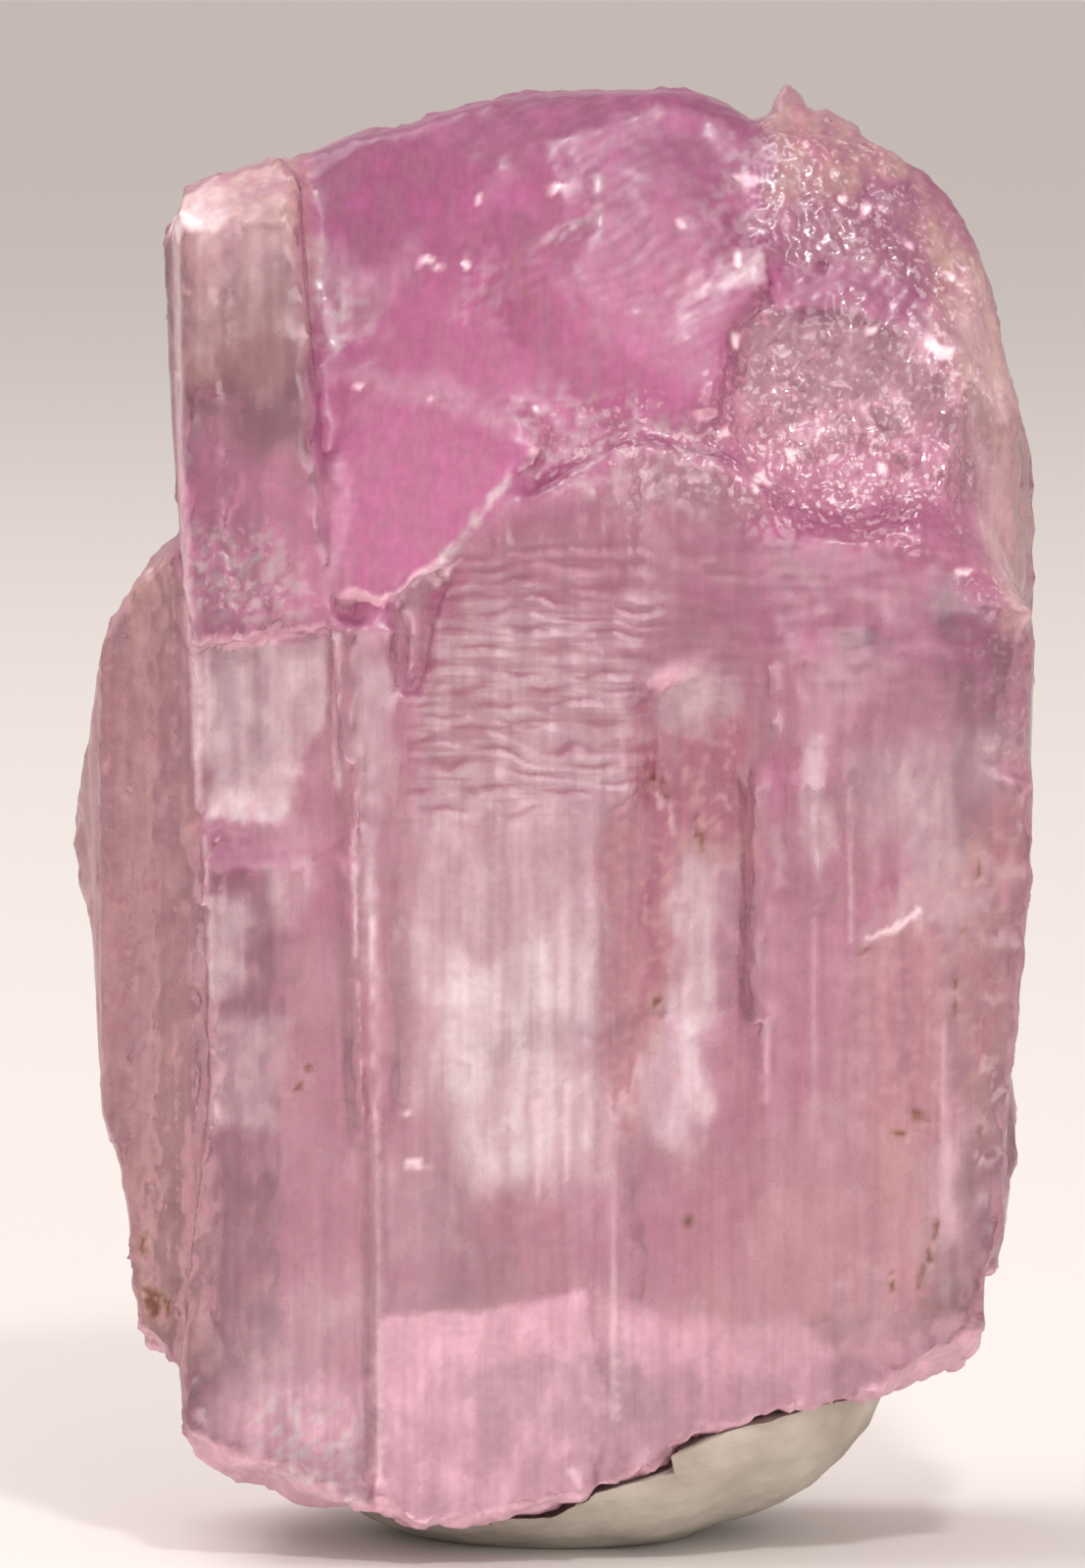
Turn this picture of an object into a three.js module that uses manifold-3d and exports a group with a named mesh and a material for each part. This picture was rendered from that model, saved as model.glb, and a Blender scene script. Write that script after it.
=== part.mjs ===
// A kunzite crystal, the pink variety of spodumene, held upright by a mound of putty.
//
// The crystal is a tablet flattened from front to back. It grew as a bundle of parallel
// columns along the vertical axis, so its prism faces carry vertical steps and striations.
// Its front shows thin growth layers with gaps between them: a square window on the left,
// a long groove right of the middle. Its crown is a few steep facets with raised plates, an
// etched shoulder and an etched alcove. Its foot is a break, pressed into the putty.
//
// Millimetres. +X is right and +Y away, as seen from the front, and +Z is up. The part
// stands on Z = 0 and its bounding box is centred on the Z axis.

import * as THREE from "three";
import { mergeVertices } from "three/addons/utils/BufferGeometryUtils.js";
import Module from "manifold-3d";

const wasm = await Module();
wasm.setup();

// ---- Driving dimensions ----

const CORE_FRONT = -9.3; // the front prism face below the growth layers
const CORE_BACK = 9.6;
const DEEP = -4; // how far the growth layers run into the core
const THROUGH = 30; // more than half of the crystal in any direction

const STRIATION_PITCH = 1.5;
const STRIATION_DEPTH = 0.22;

// Outline of the crystal's body seen from the front, as [x, z], clockwise from the left
const BODY_OUTLINE = [
  [-17.9, 61.2], [-17.0, 62.4], [-16.9, 63.3], [-12.6, 64.6], [-11.8, 63.8],
  [-11.6, 64.6], [-9.9, 65.4], [-8.1, 65.9], [-6.8, 65.7], [-6.1, 66.3],
  [-4.3, 66.8], [-1.6, 67.5], [6.1, 67.7], [8.1, 67.0], [9.8, 65.7],
  [14.6, 65.3], [17.3, 63.8], [18.2, 62.8], [19.6, 60.6], [20.4, 58.1],
  [20.9, 55.4], [21.6, 52.7], [22.2, 51.3], [22.4, 48.6], [22.3, 43.2],
  [22.1, 36.5], [21.6, 26.6], [20.6, 15.3], [19.8, 13.1], [19.7, 11.5],
  [19.8, 9.6], [18.9, 8.5], [15.5, 7.6], [12.8, 7.5], [7.9, 6.5],
  [5.4, 5.5], [5.6, 4.7], [1.1, 3.6], [-0.2, 2.4], [-6.1, 1.5],
  [-7.4, 2.3], [-12.0, 2.7], [-14.8, 3.3], [-15.8, 4.1], [-17.0, 5.9],
  [-17.3, 8.9], [-16.6, 18.0], [-16.4, 31.5], [-16.8, 43.2], [-17.3, 47.7],
  [-17.6, 52.7],
];

// Section of the body seen from above, as [x, y], anticlockwise from the left
const BODY_SECTION = [
  [-17.9, -5.2], [-15.8, -8.7], [-9.0, CORE_FRONT], [13.0, CORE_FRONT],
  [17.5, -8.4], [21.2, -4.6], [22.4, -0.8], [21.8, 4.6],
  [17.8, 8.4], [8.0, CORE_BACK], [-6.0, CORE_BACK], [-14.2, 8.6], [-17.9, 4.4],
];

// The blade that grew on the left, set back from the front
const BLADE_OUTLINE = [
  [-11.9, 46.6], [-17.7, 46.6], [-18.7, 45.9], [-19.3, 45.0], [-20.7, 42.8],
  [-21.1, 40.5], [-21.6, 36.9], [-22.3, 33.8], [-22.1, 31.1], [-21.4, 28.8],
  [-21.1, 23.4], [-20.9, 20.3], [-20.0, 18.0], [-19.3, 11.3], [-18.9, 9.7],
  [-17.3, 8.9], [-11.9, 8.6],
];
const BLADE_SECTION = [
  [-22.3, -2.6], [-20.8, -6.2], [-16.6, -8.2], [-12.0, -7.4], [-12.0, 5.4],
  [-16.8, 6.8], [-20.6, 4.2], [-22.3, 0.6],
];

// Thin growth layers on the front. front is the depth of each face, turn the degrees by
// which it faces right about its hinge, and grain scales its striations.
const FRONT_LAYERS = [
  { // the broad smooth pane of the middle
    outline: [
      [-7.0, 34.7], [-5.6, 43.2], [-4.3, 46.8], [-2.0, 49.0], [3.4, 52.0],
      [4.0, 52.2], [4.0, 36.0], [2.0, 33.8], [1.8, 18.0], [1.6, 3.4],
      [-0.2, 2.4], [-6.1, 1.5], [-8.2, 2.4], [-8.2, 18.9], [-7.1, 22.5],
    ],
    front: -11.0, turn: 0, hinge: -2, grain: 0.3,
  },
  { // the sloping flank from the pane into the groove
    outline: [[1.6, 34.0], [4.0, 36.2], [5.2, 33.0], [5.2, 20.0], [3.4, 17.6], [1.6, 17.6]],
    front: -10.9, turn: 24, hinge: 1.8, grain: 0.4,
  },
  { // the block at the lower left
    outline: [
      [-16.2, 34.0], [-12.4, 34.3], [-11.9, 33.3], [-9.0, 33.2], [-8.3, 32.8],
      [-8.0, 32.8], [-8.0, 2.5], [-12.0, 2.7], [-14.8, 3.3], [-15.8, 4.1],
      [-17.0, 5.9], [-17.2, 8.9], [-15.8, 22.5],
    ],
    front: -10.4, turn: -3, hinge: -8, grain: 0.6,
  },
  { // the narrow strip left of the pane
    outline: [
      [-10.2, 43.6], [-7.0, 43.5], [-6.8, 34.7], [-6.9, 21.0], [-8.3, 18.0],
      [-9.0, 33.2], [-9.6, 35.6],
    ],
    front: -10.6, turn: 5, hinge: -8, grain: 0.5,
  },
  { // a ridge along the strip's left edge
    outline: [[-9.9, 43.2], [-9.3, 43.2], [-9.2, 37.0], [-8.7, 20.0], [-9.1, 20.0], [-9.8, 36.0]],
    front: -10.95, turn: -12, hinge: -9.5, grain: 0,
  },
  { // the barred column right of the groove
    outline: [
      [9.0, 42.4], [12.9, 41.2], [12.9, 7.5], [7.9, 6.5], [6.9, 18.0], [8.7, 22.5], [8.9, 27.0],
    ],
    front: -10.7, turn: 2, hinge: 11, grain: 1.2,
  },
  { // a short bar standing proud of that column
    outline: [[10.5, 39.2], [11.2, 39.4], [11.4, 32.0], [10.7, 31.4]],
    front: -11.0, turn: 8, hinge: 11, grain: 0,
  },
  { // a second, lower bar beside it
    outline: [[11.8, 38.8], [12.8, 38.2], [12.7, 31.2], [11.9, 30.4]],
    front: -11.1, turn: -6, hinge: 12.3, grain: 0,
  },
  { // the plain foot below the groove
    outline: [
      [1.4, 18.0], [3.4, 21.2], [5.6, 23.0], [7.4, 22.1], [8.2, 6.6], [5.4, 5.5], [5.6, 4.7],
      [1.4, 3.6],
    ],
    front: -10.5, turn: 3, hinge: 4, grain: 0.8,
  },
  { // the broad panel on the right, turning towards the edge
    outline: [
      [12.7, 41.4], [20.9, 43.4], [22.3, 43.2], [21.9, 31.5], [21.1, 22.5],
      [20.6, 15.3], [19.8, 13.1], [19.8, 9.6], [18.9, 8.5], [15.5, 7.6], [12.7, 7.5],
    ],
    front: -10.5, turn: 13, hinge: 13, grain: 1.3,
  },
  { // the brow that joins pane, column and panel above the groove
    outline: [
      [3.8, 52.2], [7.6, 51.0], [13.3, 49.6], [19.6, 47.2], [22.3, 43.4],
      [20.9, 41.0], [12.7, 40.5], [9.1, 41.7], [7.6, 42.3], [3.8, 40.6],
    ],
    front: -10.9, turn: 5, hinge: 5, grain: 0.7,
  },
];

// Growth layers on the back, by the same rules, with front as their outer face
const BACK_LAYERS = [
  {
    outline: [[-13.5, 58.0], [-5.0, 60.5], [-4.2, 12.0], [-6.5, 4.6], [-13.0, 6.2]],
    front: 10.6, turn: 2, hinge: -9, grain: 1,
  },
  {
    outline: [[-4.6, 60.5], [3.0, 61.0], [4.4, 30.0], [2.2, 24.0], [-4.6, 22.0]],
    front: 10.9, turn: -3, hinge: 0, grain: 1,
  },
  {
    outline: [[2.6, 52.0], [11.0, 55.0], [12.5, 44.0], [11.2, 9.0], [3.5, 7.0]],
    front: 10.3, turn: 4, hinge: 7, grain: 1.2,
  },
  {
    outline: [[11.6, 40.0], [17.5, 43.5], [18.4, 20.0], [16.0, 10.0], [11.6, 9.0]],
    front: 9.9, turn: -7, hinge: 12, grain: 1,
  },
];

// The column on the left, whose top stands clear of the crown
const COLUMN_OUTLINE = [
  [-17.9, 61.2], [-17.0, 62.4], [-16.9, 63.3], [-12.6, 64.6], [-11.8, 63.9],
  [-11.6, 63.0], [-11.2, 57.2], [-9.9, 43.4], [-16.4, 42.6], [-16.9, 45.0], [-17.6, 52.7],
];
const COLUMN_SECTION = [
  [-17.9, -6.4], [-16.8, -9.8], [-9.6, -10.6], [-9.6, 1.5], [-13.0, 3.2], [-17.9, 2.2],
];
const COLUMN_TOP = { through: [-15, -10.3, 61.4], facing: [-0.1, -0.62, 0.78] };

// Small growths seen past the body: a spiky peak behind the crown and a flake at the foot
const PEAK = {
  outline: [
    [9.9, 64.4], [10.2, 67.2], [11.1, 67.9], [11.9, 66.7], [13.3, 66.6], [14.6, 65.3],
    [15.4, 60.0], [9.7, 60.0],
  ],
  front: -2.6, back: 3.4,
  facets: [
    { through: [11, -0.6, 67.6], facing: [0.2, -0.8, 0.6] },
    { through: [11, 0.4, 67.6], facing: [0.1, 0.85, 0.5] },
  ],
};
const FLAKE = {
  outline: [
    [17.6, 22.5], [20.9, 22.3], [21.6, 21.2], [21.9, 19.4], [21.7, 16.9], [21.4, 14.9],
    [20.7, 12.2], [17.6, 11.7],
  ],
  front: 0.8, back: 4.2,
  facets: [{ through: [21.9, 2.2, 19], facing: [0.7, -0.7, 0.1] }],
};

// Where the foot broke off, besides its ragged outline
const FOOT_BREAKS = [
  { through: [-12.0, -10.2, 4.4], facing: [-0.35, -0.5, -0.79] },
  { through: [-2.0, -10.8, 2.8], facing: [0.15, -0.5, -0.85] },
  { through: [0.0, 8.4, 4.0], facing: [0.05, 0.6, -0.8] },
  { through: [18.2, -6.0, 8.8], facing: [0.5, -0.35, -0.79] },
  { through: [-15.4, 4.0, 5.4], facing: [-0.62, 0.3, -0.72] },
];

// Facets of the crown, each through a point and facing outwards
const WEDGE_FACET = { through: [-8.3, -11, 43.5], facing: [-0.218, -1, 0.291] };
const MIDDLE_FACET = { through: [2, -9.44, 56.6], facing: [0.22, -1, 0.4] };
const SHOULDER_FACET = { through: [13, -8.8, 56.6], facing: [0.45, -0.8, 0.55] };
const CROWN_FACETS = [
  WEDGE_FACET,
  MIDDLE_FACET,
  SHOULDER_FACET,
  { through: [2, -6.2, 65.4], facing: [0, -0.75, 0.66] }, // the band along the top
  { through: [20, -3, 58], facing: [0.8, -0.5, 0.3] }, // the curve of the right edge
  { through: [0, 4, 66.8], facing: [0.1, 0.86, 0.5] }, // the back
  { through: [12, 3, 64.4], facing: [0.5, 0.75, 0.45] },
  { through: [-10, 2, 64.4], facing: [-0.45, 0.7, 0.5] },
];

// Raised plates on the crown, each lifted from its facet
const CROWN_PLATES = [
  {
    outline: [
      [-9.9, 65.2], [-6.1, 66.2], [-2.0, 64.2], [-3.2, 62.4], [-6.5, 61.2], [-7.4, 58.6],
      [-10.6, 57.2], [-11.4, 63.0],
    ],
    facet: WEDGE_FACET, lift: 0.4,
  },
  {
    outline: [
      [-9.9, 55.8], [-6.1, 54.0], [-2.0, 53.6], [-0.2, 52.2], [-2.9, 48.7], [-5.6, 46.2],
      [-7.7, 44.4], [-9.2, 45.0],
    ],
    facet: WEDGE_FACET, lift: 0.35,
  },
  {
    outline: [
      [-1.6, 59.9], [2.1, 61.6], [1.6, 63.4], [3.4, 64.4], [7.0, 64.0], [8.1, 60.8],
      [6.1, 58.6], [3.4, 54.5], [-0.2, 57.2], [-1.6, 58.1],
    ],
    facet: MIDDLE_FACET, lift: 0.5,
  },
  {
    outline: [
      [4.0, 54.0], [7.0, 58.5], [9.5, 60.8], [9.9, 58.5], [7.9, 56.5], [7.6, 53.2], [6.1, 53.0],
    ],
    facet: MIDDLE_FACET, lift: 0.7,
  },
];

// The etched alcove on the upper right, an ellipsoid pressed into the front
const ALCOVE = { centre: [13.6, -9.3, 54.0], radii: [6.0, 3.2, 6.5], turn: 0 };
// The shell-shaped break on the right panel, turned like the panel
const SCAR = { centre: [17.3, -11.8, 34.2], radii: [6.8, 3.0, 7.6], turn: 13 };

// Ripples across the pane and the brow: shallow ledges, one above the other
const RIPPLES = { count: 13, bottom: 34.8, top: 47.0, left: -6.6, right: 5.0, depth: 0.2, height: 0.5 };

// Etched patches of the crown: hillocks left standing, then pits, in ellipses of [x, z]
const HILLOCKS = [
  { count: 22, centre: [13.8, 52.8], radii: [4.4, 4.2] },
  { count: 12, centre: [14.6, 61.4], radii: [4.0, 2.2] },
];
const ETCH_PITS = [
  { count: 20, centre: [13.8, 53.0], radii: [4.6, 4.6] },
  { count: 12, centre: [14.6, 61.2], radii: [4.0, 2.4] },
];
const ETCH_SIZE = [0.35, 0.85];
const SEED = 4;

// Chips along the rims: [x, y, z, size]
const CHIPS = [
  [-17.9, -6.5, 61.4, 0.9], [-12.0, -9.6, 63.4, 0.7], [-16.8, -10.2, 44.2, 0.6],
  [-18.4, -6.0, 45.6, 1.2], [-20.4, -5.4, 43.0, 1.0], [-22.3, -3.2, 29.9, 1.1],
  [-21.2, -4.6, 19.0, 1.2], [-19.0, -6.8, 9.6, 1.3], [9.8, -9.6, 6.8, 1.2],
  [16.6, -9.6, 7.4, 1.3], [20.4, -6.2, 14.4, 1.0], [22.2, -3.2, 37.0, 0.8],
  [22.3, -1.5, 51.8, 0.9], [20.6, -4.4, 58.4, 1.1], [18.0, -3.2, 63.6, 1.3],
  [9.9, -4.6, 65.9, 1.2], [-1.8, -4.4, 67.5, 0.9], [-6.6, -4.6, 66.2, 0.8],
  [21.6, 3.6, 46.0, 1.4], [21.2, 4.8, 28.0, 1.8], [17.6, 8.4, 12.0, 2.0],
  [6.0, 10.2, 5.6, 2.4], [-9.0, 10.4, 4.4, 2.2], [-20.4, 4.6, 14.0, 1.6],
  [-17.6, 3.6, 58.0, 1.5], [3.0, 8.6, 60.4, 2.0], [14.6, 7.2, 57.2, 2.0],
  [-12.6, 8.2, 57.0, 1.8],
];

// The mound of putty, a squashed ball leaning to the right with a flat underside
const MOUND = { centre: [1.4, -0.3, 7.6], radii: [15.2, 12.0, 8.4], crown: 0.25, lean: 6, swing: 6 };
const THUMB_DENTS = [
  { at: [-0.5, -0.8, -0.3], size: 0.55, depth: 0.07 },
  { at: [0.55, -0.8, 0.1], size: 0.5, depth: 0.06 },
  { at: [0.95, 0.2, 0.1], size: 0.6, depth: 0.08 },
  { at: [-0.9, 0.4, 0.1], size: 0.6, depth: 0.07 },
  { at: [0.1, 0.95, 0.2], size: 0.7, depth: 0.09 },
];
// The seat clears the foot on every side, and leaves no putty before the crystal's face
const SEAT_GAP = 0.3;
const SEAT_SHIFTS = [
  [SEAT_GAP, 0, 0], [-SEAT_GAP, 0, 0], [0, SEAT_GAP, 0], [0, -SEAT_GAP, 0], [0, 0, -SEAT_GAP],
  [0, -1.5, -SEAT_GAP], [0, -3, -SEAT_GAP],
];

// ---- Building blocks ----

const UP = new THREE.Vector3(0, 0, 1);
// Turns an extrusion along Z to run along X, with its section in Y and Z
const ALONG_X = new THREE.Matrix4().makeBasis(
  new THREE.Vector3(0, 1, 0), new THREE.Vector3(0, 0, 1), new THREE.Vector3(1, 0, 0),
);

// A closed three.js geometry as a solid that can be joined and cut
function solidOf(geometry) {
  const bare = geometry.index ? geometry.toNonIndexed() : geometry;
  bare.deleteAttribute("normal");
  bare.deleteAttribute("uv");
  const merged = mergeVertices(bare, 1e-4);
  return new wasm.Manifold(
    new wasm.Mesh({
      numProp: 3,
      vertProperties: merged.attributes.position.array,
      triVerts: new Uint32Array(merged.index.array),
    }),
  );
}

// The solid's surface as a geometry with flat faces
function geometryOf(solid) {
  const { vertProperties, triVerts } = solid.getMesh();
  const indexed = new THREE.BufferGeometry();
  indexed.setAttribute("position", new THREE.BufferAttribute(vertProperties, 3));
  indexed.setIndex(new THREE.BufferAttribute(triVerts, 1));
  const flat = indexed.toNonIndexed();
  flat.computeVertexNormals();
  return flat;
}

function extruded(outline, depth) {
  const shape = new THREE.Shape(outline.map(([a, b]) => new THREE.Vector2(a, b)));
  return new THREE.ExtrudeGeometry(shape, { depth, bevelEnabled: false });
}

// A prism along Y from an outline of [x, z]
function facePrism(outline, front, back) {
  return solidOf(extruded(outline, back - front).rotateX(Math.PI / 2).translate(0, back, 0));
}

// A prism along Z from a section of [x, y]
function uprightPrism(section, bottom, top) {
  return solidOf(extruded(section, top - bottom).translate(0, 0, bottom));
}

// Cuts off what lies beyond a flat facet, which a lift moves outwards
function faceted(solid, { through, facing }, lift = 0) {
  const outward = new THREE.Vector3(...facing).normalize();
  const turn = new THREE.Quaternion().setFromUnitVectors(UP, outward);
  const foot = new THREE.Vector3(...through).addScaledVector(outward, lift);
  const waste = new THREE.BoxGeometry(8 * THROUGH, 8 * THROUGH, 4 * THROUGH)
    .translate(0, 0, 2 * THROUGH)
    .applyQuaternion(turn)
    .translate(...foot.toArray());
  return solid.subtract(solidOf(waste));
}

// Repeatable random numbers from 0 to 1
function seededRandom(seed) {
  let state = seed;
  return () => {
    state = (state + 0x6d2b79f5) | 0;
    let mixed = Math.imul(state ^ (state >>> 15), 1 | state);
    mixed = (mixed + Math.imul(mixed ^ (mixed >>> 7), 61 | mixed)) ^ mixed;
    return ((mixed ^ (mixed >>> 14)) >>> 0) / 2 ** 32;
  };
}

// Points from start to end, each set in by a random share of depth: the section of a
// striated prism face. inward is the direction into the crystal.
function striatedEdge(start, end, inward, depth, random) {
  const length = Math.hypot(end[0] - start[0], end[1] - start[1]);
  const steps = Math.max(1, Math.round(length / STRIATION_PITCH));
  const points = [start];
  for (let step = 1; step < steps; step++) {
    const along = (step + 0.7 * (random() - 0.5)) / steps;
    const setIn = depth * random();
    points.push(
      [0, 1].map((axis) => start[axis] + (end[axis] - start[axis]) * along + inward[axis] * setIn),
    );
  }
  return points;
}

// A section whose every side is striated
function striatedSection(section, depth, random) {
  return section.flatMap((start, i) => {
    const end = section[(i + 1) % section.length];
    const length = Math.hypot(end[0] - start[0], end[1] - start[1]);
    const inward = [-(end[1] - start[1]) / length, (end[0] - start[0]) / length];
    return striatedEdge(start, end, inward, depth, random);
  });
}

// ---- The crystal ----

// A growth layer: its outline cut from a slab whose outer face is striated and turned
function growthLayer({ outline, front, turn, hinge, grain }, random) {
  const side = Math.sign(front);
  const reach = THROUGH * side;
  const face = striatedEdge([-reach, 0], [reach, 0], [0, -side], STRIATION_DEPTH * grain, random);
  const slabDepth = front - DEEP * -side;
  const slab = extruded([...face, [reach, 0], [reach, -slabDepth], [-reach, -slabDepth]], 2 * THROUGH * 1.3)
    .rotateZ(THREE.MathUtils.degToRad(turn * side * -1))
    .translate(hinge, front, 0);
  const prism = side < 0 ? facePrism(outline, -THROUGH, DEEP) : facePrism(outline, -DEEP, THROUGH);
  return prism.intersect(solidOf(slab));
}

function ellipsoid({ centre, radii, turn }) {
  const ball = new THREE.IcosahedronGeometry(1, 5).scale(...radii);
  return solidOf(ball.rotateZ(THREE.MathUtils.degToRad(turn)).translate(...centre));
}

// Depth of the alcove's floor at a place on the front
function alcoveDepth(x, z) {
  const [centreX, centreY, centreZ] = ALCOVE.centre;
  const [radiusX, radiusY, radiusZ] = ALCOVE.radii;
  const out = ((x - centreX) / radiusX) ** 2 + ((z - centreZ) / radiusZ) ** 2;
  return centreY + radiusY * Math.sqrt(Math.max(0, 1 - out));
}

// Depth of a facet at a place on the front
function facetDepth({ through, facing }, x, z) {
  return through[1] - (facing[0] * (x - through[0]) + facing[2] * (z - through[2])) / facing[1];
}

// Depth of the crown's surface at a place on the front
function crownDepth(x, z) {
  const frontFacets = CROWN_FACETS.filter(({ facing }) => facing[1] < 0);
  return Math.max(alcoveDepth(x, z), ...frontFacets.map((facet) => facetDepth(facet, x, z)));
}

// An angular lump or pit, turned at random
function shard(centre, size, random) {
  const lump = new THREE.OctahedronGeometry(size, 0);
  lump.scale(0.7 + 0.6 * random(), 0.7 + 0.6 * random(), 0.7 + 0.6 * random());
  lump.rotateX(3 * random()).rotateY(3 * random()).rotateZ(3 * random());
  return solidOf(lump.translate(...centre));
}

// Shards scattered over the crown inside an ellipse of [x, z]
function etchShards({ count, centre, radii }, random) {
  return Array.from({ length: count }, () => {
    const angle = 2 * Math.PI * random();
    const out = Math.sqrt(random());
    const x = centre[0] + radii[0] * out * Math.cos(angle);
    const z = centre[1] + radii[1] * out * Math.sin(angle);
    const [least, most] = ETCH_SIZE;
    return shard([x, crownDepth(x, z), z], least + (most - least) * random() ** 2, random);
  });
}

// One ledge of the ripples, a wedge of its own length and lean
function ripple(index, random) {
  const { count, bottom, top, left, right, depth, height } = RIPPLES;
  const z = bottom + ((top - bottom) * (index + 0.6 * random())) / count;
  const start = left + (right - left) * 0.3 * random() ** 2;
  const length = (right - start) * (1 - 0.4 * random() ** 2);
  const section = [[0, 0], [depth * (0.6 + 0.4 * random()), 0], [0, height * (0.7 + 0.6 * random())]];
  const wedge = extruded(section, length).applyMatrix4(ALONG_X);
  const lean = THREE.MathUtils.degToRad(5 * (random() - 0.4));
  return solidOf(wedge.rotateY(-lean).translate(start, -11.03, z));
}

function crystalBody(random) {
  const outline = facePrism(BODY_OUTLINE, -THROUGH, THROUGH);
  const section = striatedSection(BODY_SECTION, STRIATION_DEPTH, random);
  let body = outline.intersect(uprightPrism(section, 0, 3 * THROUGH));
  for (const layer of [...FRONT_LAYERS, ...BACK_LAYERS]) {
    body = body.add(growthLayer(layer, random));
  }
  body = CROWN_FACETS.reduce((solid, facet) => faceted(solid, facet), body);
  for (const { outline: plate, facet, lift } of CROWN_PLATES) {
    body = body.add(faceted(facePrism(plate, -THROUGH, 0), facet, lift));
  }
  return body;
}

function makeCrystal() {
  const random = seededRandom(SEED);
  const blade = facePrism(BLADE_OUTLINE, -THROUGH, THROUGH).intersect(
    uprightPrism(striatedSection(BLADE_SECTION, STRIATION_DEPTH, random), 0, 2 * THROUGH),
  );
  const column = faceted(
    facePrism(COLUMN_OUTLINE, -THROUGH, THROUGH).intersect(
      uprightPrism(striatedSection(COLUMN_SECTION, 0.6 * STRIATION_DEPTH, random), 0, 3 * THROUGH),
    ),
    COLUMN_TOP,
  );
  let crystal = crystalBody(random)
    .subtract(ellipsoid(SCAR))
    .subtract(ellipsoid(ALCOVE))
    .add(blade)
    .add(column);
  for (const { outline, front, back, facets } of [PEAK, FLAKE]) {
    const growth = facePrism(outline, front, back);
    crystal = crystal.add(facets.reduce((solid, facet) => faceted(solid, facet), growth));
  }
  crystal = FOOT_BREAKS.reduce((solid, facet) => faceted(solid, facet), crystal);
  for (let index = 0; index < RIPPLES.count; index++) {
    crystal = crystal.subtract(ripple(index, random));
  }
  for (const patch of HILLOCKS) {
    crystal = etchShards(patch, random).reduce((solid, hillock) => solid.add(hillock), crystal);
  }
  for (const patch of ETCH_PITS) {
    crystal = etchShards(patch, random).reduce((solid, pit) => solid.subtract(pit), crystal);
  }
  for (const [x, y, z, size] of CHIPS) {
    crystal = crystal.subtract(shard([x, y, z], size, random));
  }
  return crystal;
}

// ---- The putty ----

// A direction of the unit ball pressed in where thumbs have been
function thumbed(direction) {
  return THUMB_DENTS.reduce((radius, { at, size, depth }) => {
    const away = direction.distanceTo(new THREE.Vector3(...at).normalize()) / size;
    return radius - depth * Math.exp(-away * away);
  }, 1);
}

function makeMound(crystal) {
  const { centre, radii, crown, lean, swing } = MOUND;
  const ball = new THREE.SphereGeometry(1, 36, 20).rotateX(Math.PI / 2);
  const points = ball.attributes.position;
  for (let i = 0; i < points.count; i++) {
    const direction = new THREE.Vector3().fromBufferAttribute(points, i);
    direction.multiplyScalar(thumbed(direction));
    points.setXYZ(i, direction.x, direction.y, direction.z * (direction.z > 0 ? crown : 1));
  }
  ball.scale(...radii)
    .rotateY(-THREE.MathUtils.degToRad(lean))
    .rotateZ(-THREE.MathUtils.degToRad(swing))
    .translate(...centre);
  const mound = faceted(solidOf(ball), { through: [0, 0, 0], facing: [0, 0, -1] });
  return SEAT_SHIFTS.reduce((solid, shift) => solid.subtract(crystal.translate(shift)), mound);
}

// ---- The object ----

const crystalSolid = makeCrystal();

const kunzite = new THREE.Mesh(
  geometryOf(crystalSolid),
  new THREE.MeshStandardMaterial({ color: 0xc78aa4, roughness: 0.22, metalness: 0 }),
);
kunzite.name = "kunzite_crystal";

const putty = new THREE.Mesh(
  geometryOf(makeMound(crystalSolid)),
  new THREE.MeshStandardMaterial({ color: 0xb9ad9a, roughness: 0.85, metalness: 0 }),
);
putty.name = "putty_mound";

const group = new THREE.Group();
group.add(kunzite, putty);
const middle = new THREE.Box3().setFromObject(group).getCenter(new THREE.Vector3());
group.position.set(-middle.x, -middle.y, 0);

export default group;
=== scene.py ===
"""The looks of a kunzite crystal that stands in a lump of mounting putty.

The crystal is one closed mesh of a clear pink material. It starts as the CAD solid, is cut
into fine triangles and gets the relief of its faces: striations, ripples, growth steps,
etching and breaks. Masks say how strongly each trait of the crystal shows at each point,
such as deep pink, milky, tan or broken. Some of them paint light and shade into the tint:
painted shade on steps, grooves, ripples and faces that face up, painted highlights and glints,
and a painted glow at the foot. The relief follows from them, and so do the tint and the
finish, which are kept at the points for the material to read.

Places and lengths are in millimetres in the part's frame, x to the right and z up as seen
from the front, until they are written to a mesh.
"""

import math

import bpy
import numpy as np
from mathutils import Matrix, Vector, noise
from mathutils.bvhtree import BVHTree


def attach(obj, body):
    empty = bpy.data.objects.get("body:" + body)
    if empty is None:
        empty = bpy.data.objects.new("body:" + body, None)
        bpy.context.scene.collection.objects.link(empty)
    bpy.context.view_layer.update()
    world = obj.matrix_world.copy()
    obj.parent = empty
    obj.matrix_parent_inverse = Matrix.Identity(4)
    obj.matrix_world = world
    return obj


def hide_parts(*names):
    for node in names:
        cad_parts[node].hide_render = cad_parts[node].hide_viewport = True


MM = 0.001

# The camera: the height and the centre of what it sees, and from where it sees it
PICTURE_HEIGHT = 72.0
PICTURE_CENTRE = (-0.57, -8.0, 36.0)
CAMERA_DISTANCE = 450.0
CAMERA_ELEVATION = 5.0  # degrees
CAMERA_CLIP = (0.01, 10.0)  # metres
SENSOR = 36.0

# The crystal's mesh: the cells it is first made of, and the longest edges that are then left
# where it is plain, on its front, and where the front is etched or rippled. Both kinds of
# front set in at a depth in y, and the second within an outline with a soft edge.
CELL = 0.54
PLAIN_EDGE = 2 * CELL
FRONT_EDGE = 0.4
FRONT_DEPTH = -4.0
ETCHED_EDGE = 0.2
ETCHED_DEPTH = -1.0
ETCHED_MARGIN = 1.0
HALVINGS = 4
CRYSTAL_CREASE = 40.0  # degrees

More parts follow.
